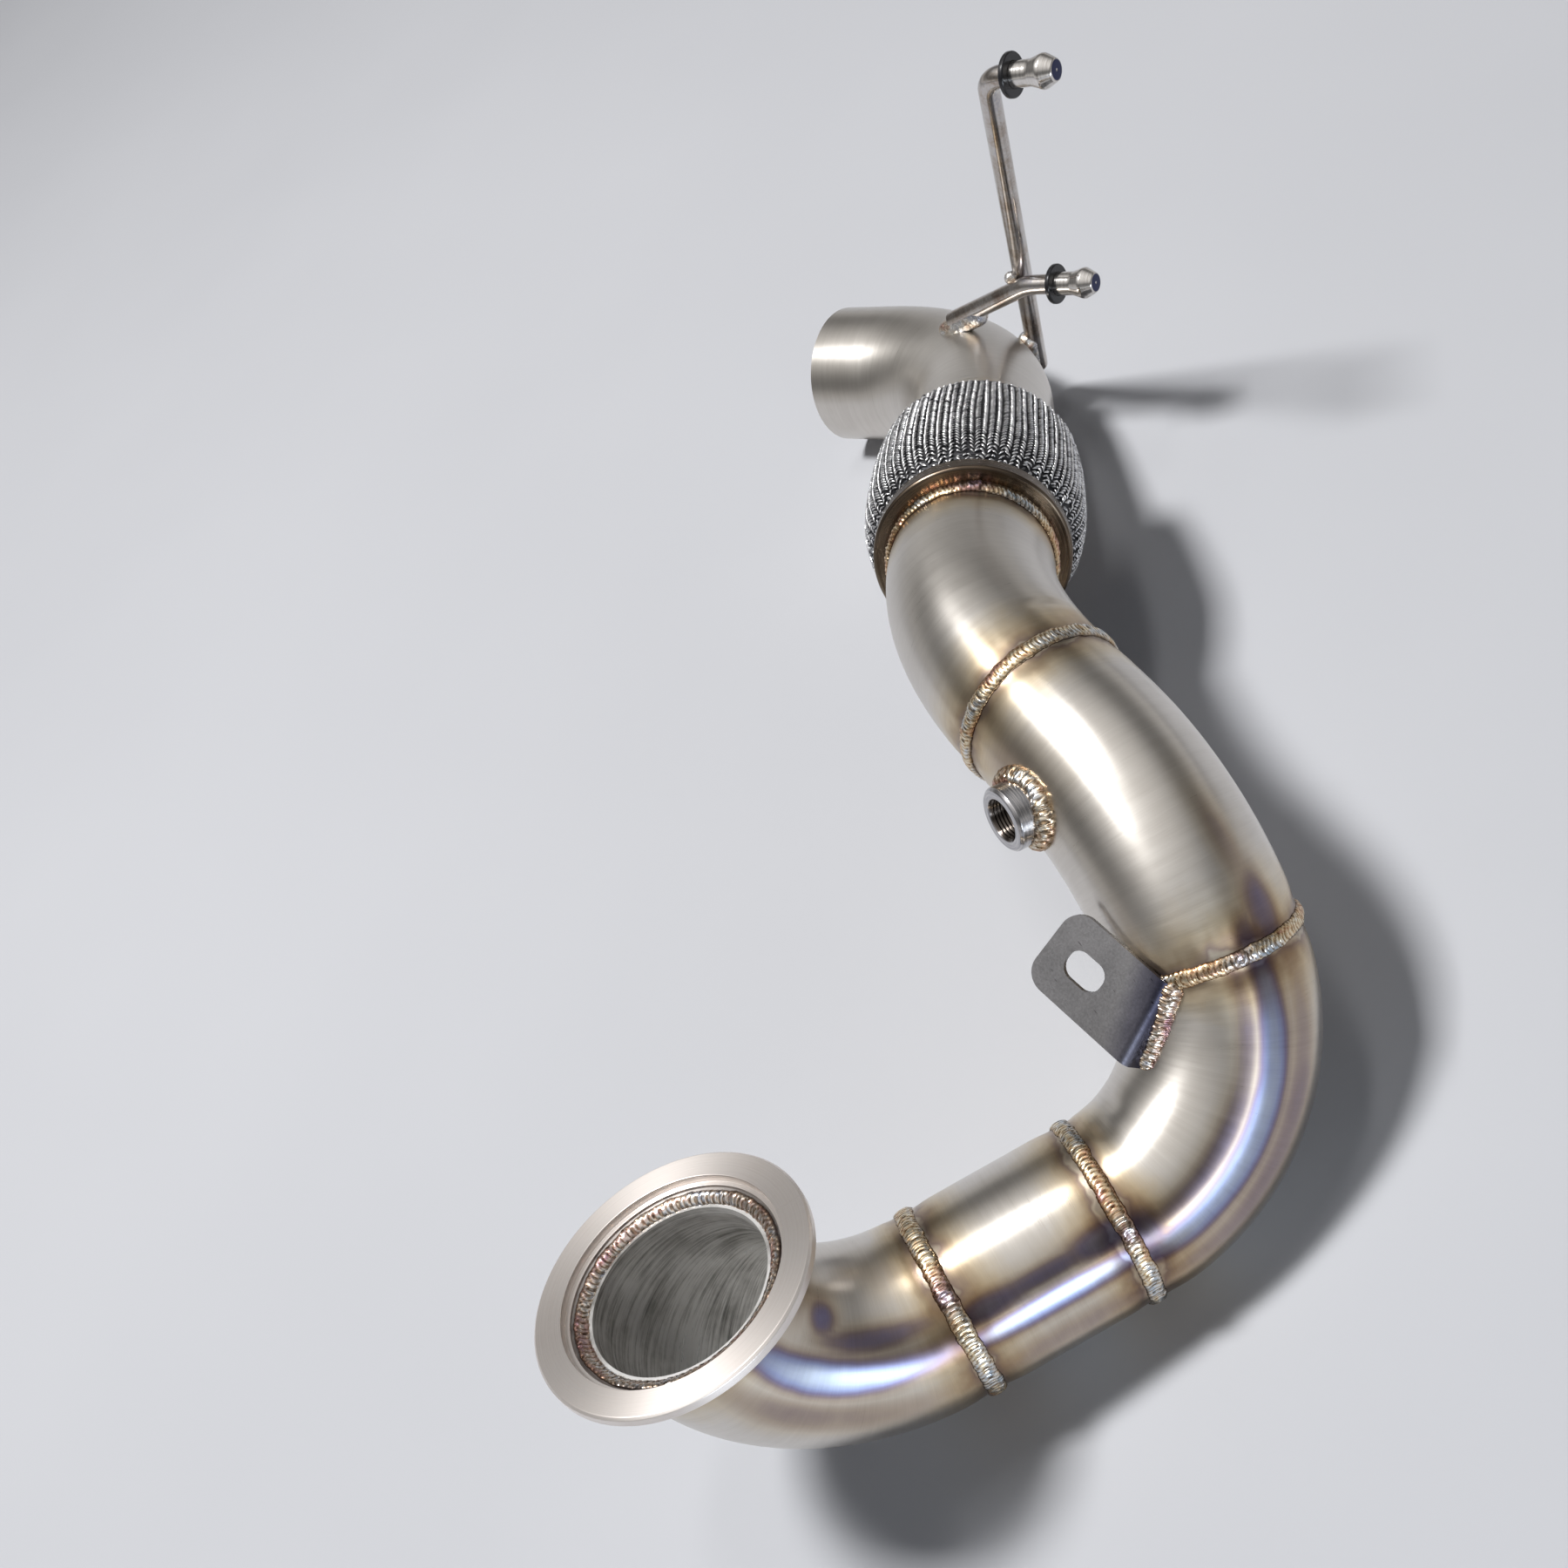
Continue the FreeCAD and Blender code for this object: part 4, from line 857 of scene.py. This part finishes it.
# Only what looks at the room or reflects it gets these bands; the rest gets a faint fill
seen_by = room.nodes.new("ShaderNodeLightPath")
seen = None
for ray in ("Is Camera Ray", "Is Glossy Ray", "Is Transmission Ray"):
    step = room.nodes.new("ShaderNodeMath")
    step.operation = "MAXIMUM"
    room.links.new(seen_by.outputs[ray], step.inputs[0])
    if seen is None:
        step.inputs[1].default_value = 0.0
    else:
        room.links.new(seen, step.inputs[1])
    seen = step.outputs[0]
pick = room.nodes.new("ShaderNodeMix")
pick.data_type = "RGBA"
room.links.new(seen, pick.inputs[0])
pick.inputs[6].default_value = (0.04, 0.04, 0.045, 1.0)
room.links.new(shades.outputs[0], pick.inputs[7])
room.links.new(pick.outputs[2], surround.inputs["Color"])


def lamp(name, towards, distance, size, power, colour=(1.0, 1.0, 1.0)):
    # Faces the middle of the pipe from the given direction
    light = bpy.data.lights.new(name, "AREA")
    light.shape = "RECTANGLE"
    light.size, light.size_y = size
    light.energy = power
    light.color = colour
    holder = bpy.data.objects.new(name, light)
    bpy.context.scene.collection.objects.link(holder)
    centre = Vector((0.02, -0.05, 0.08))
    holder.location = centre + Vector(towards).normalized() * distance
    holder.rotation_euler = (centre - holder.location).to_track_quat("-Z", "Y").to_euler()


lamp("main_lamp", (-0.25, 0.16, 1.0), 3.4, (0.58, 0.58), 110.0)
lamp("second_lamp", (0.10, 0.16, 1.0), 3.4, (0.30, 1.1), 10.0)
lamp("window", (0.0, -1.0, 0.07), 1.5, (0.9, 0.28), 6.5, (0.78, 0.88, 1.0))

camera = bpy.data.cameras.new("camera")
camera.lens = 42.739
camera.sensor_width = 36.0
camera.sensor_fit = "HORIZONTAL"
camera.clip_start = 0.02
camera_holder = bpy.data.objects.new("camera", camera)
bpy.context.scene.collection.objects.link(camera_holder)
to_right = Vector((0.8081, -0.3632, -0.4637))
to_back = Vector((0.0884, -0.7036, 0.7051))
view = Matrix((to_right, to_back.cross(to_right), to_back)).transposed().to_4x4()
view.translation = inlet_face.translation + Vector((0.1997, -0.3851, 0.5591))
camera_holder.matrix_world = view
bpy.context.scene.camera = camera_holder
bpy.context.scene.view_settings.view_transform = "Standard"
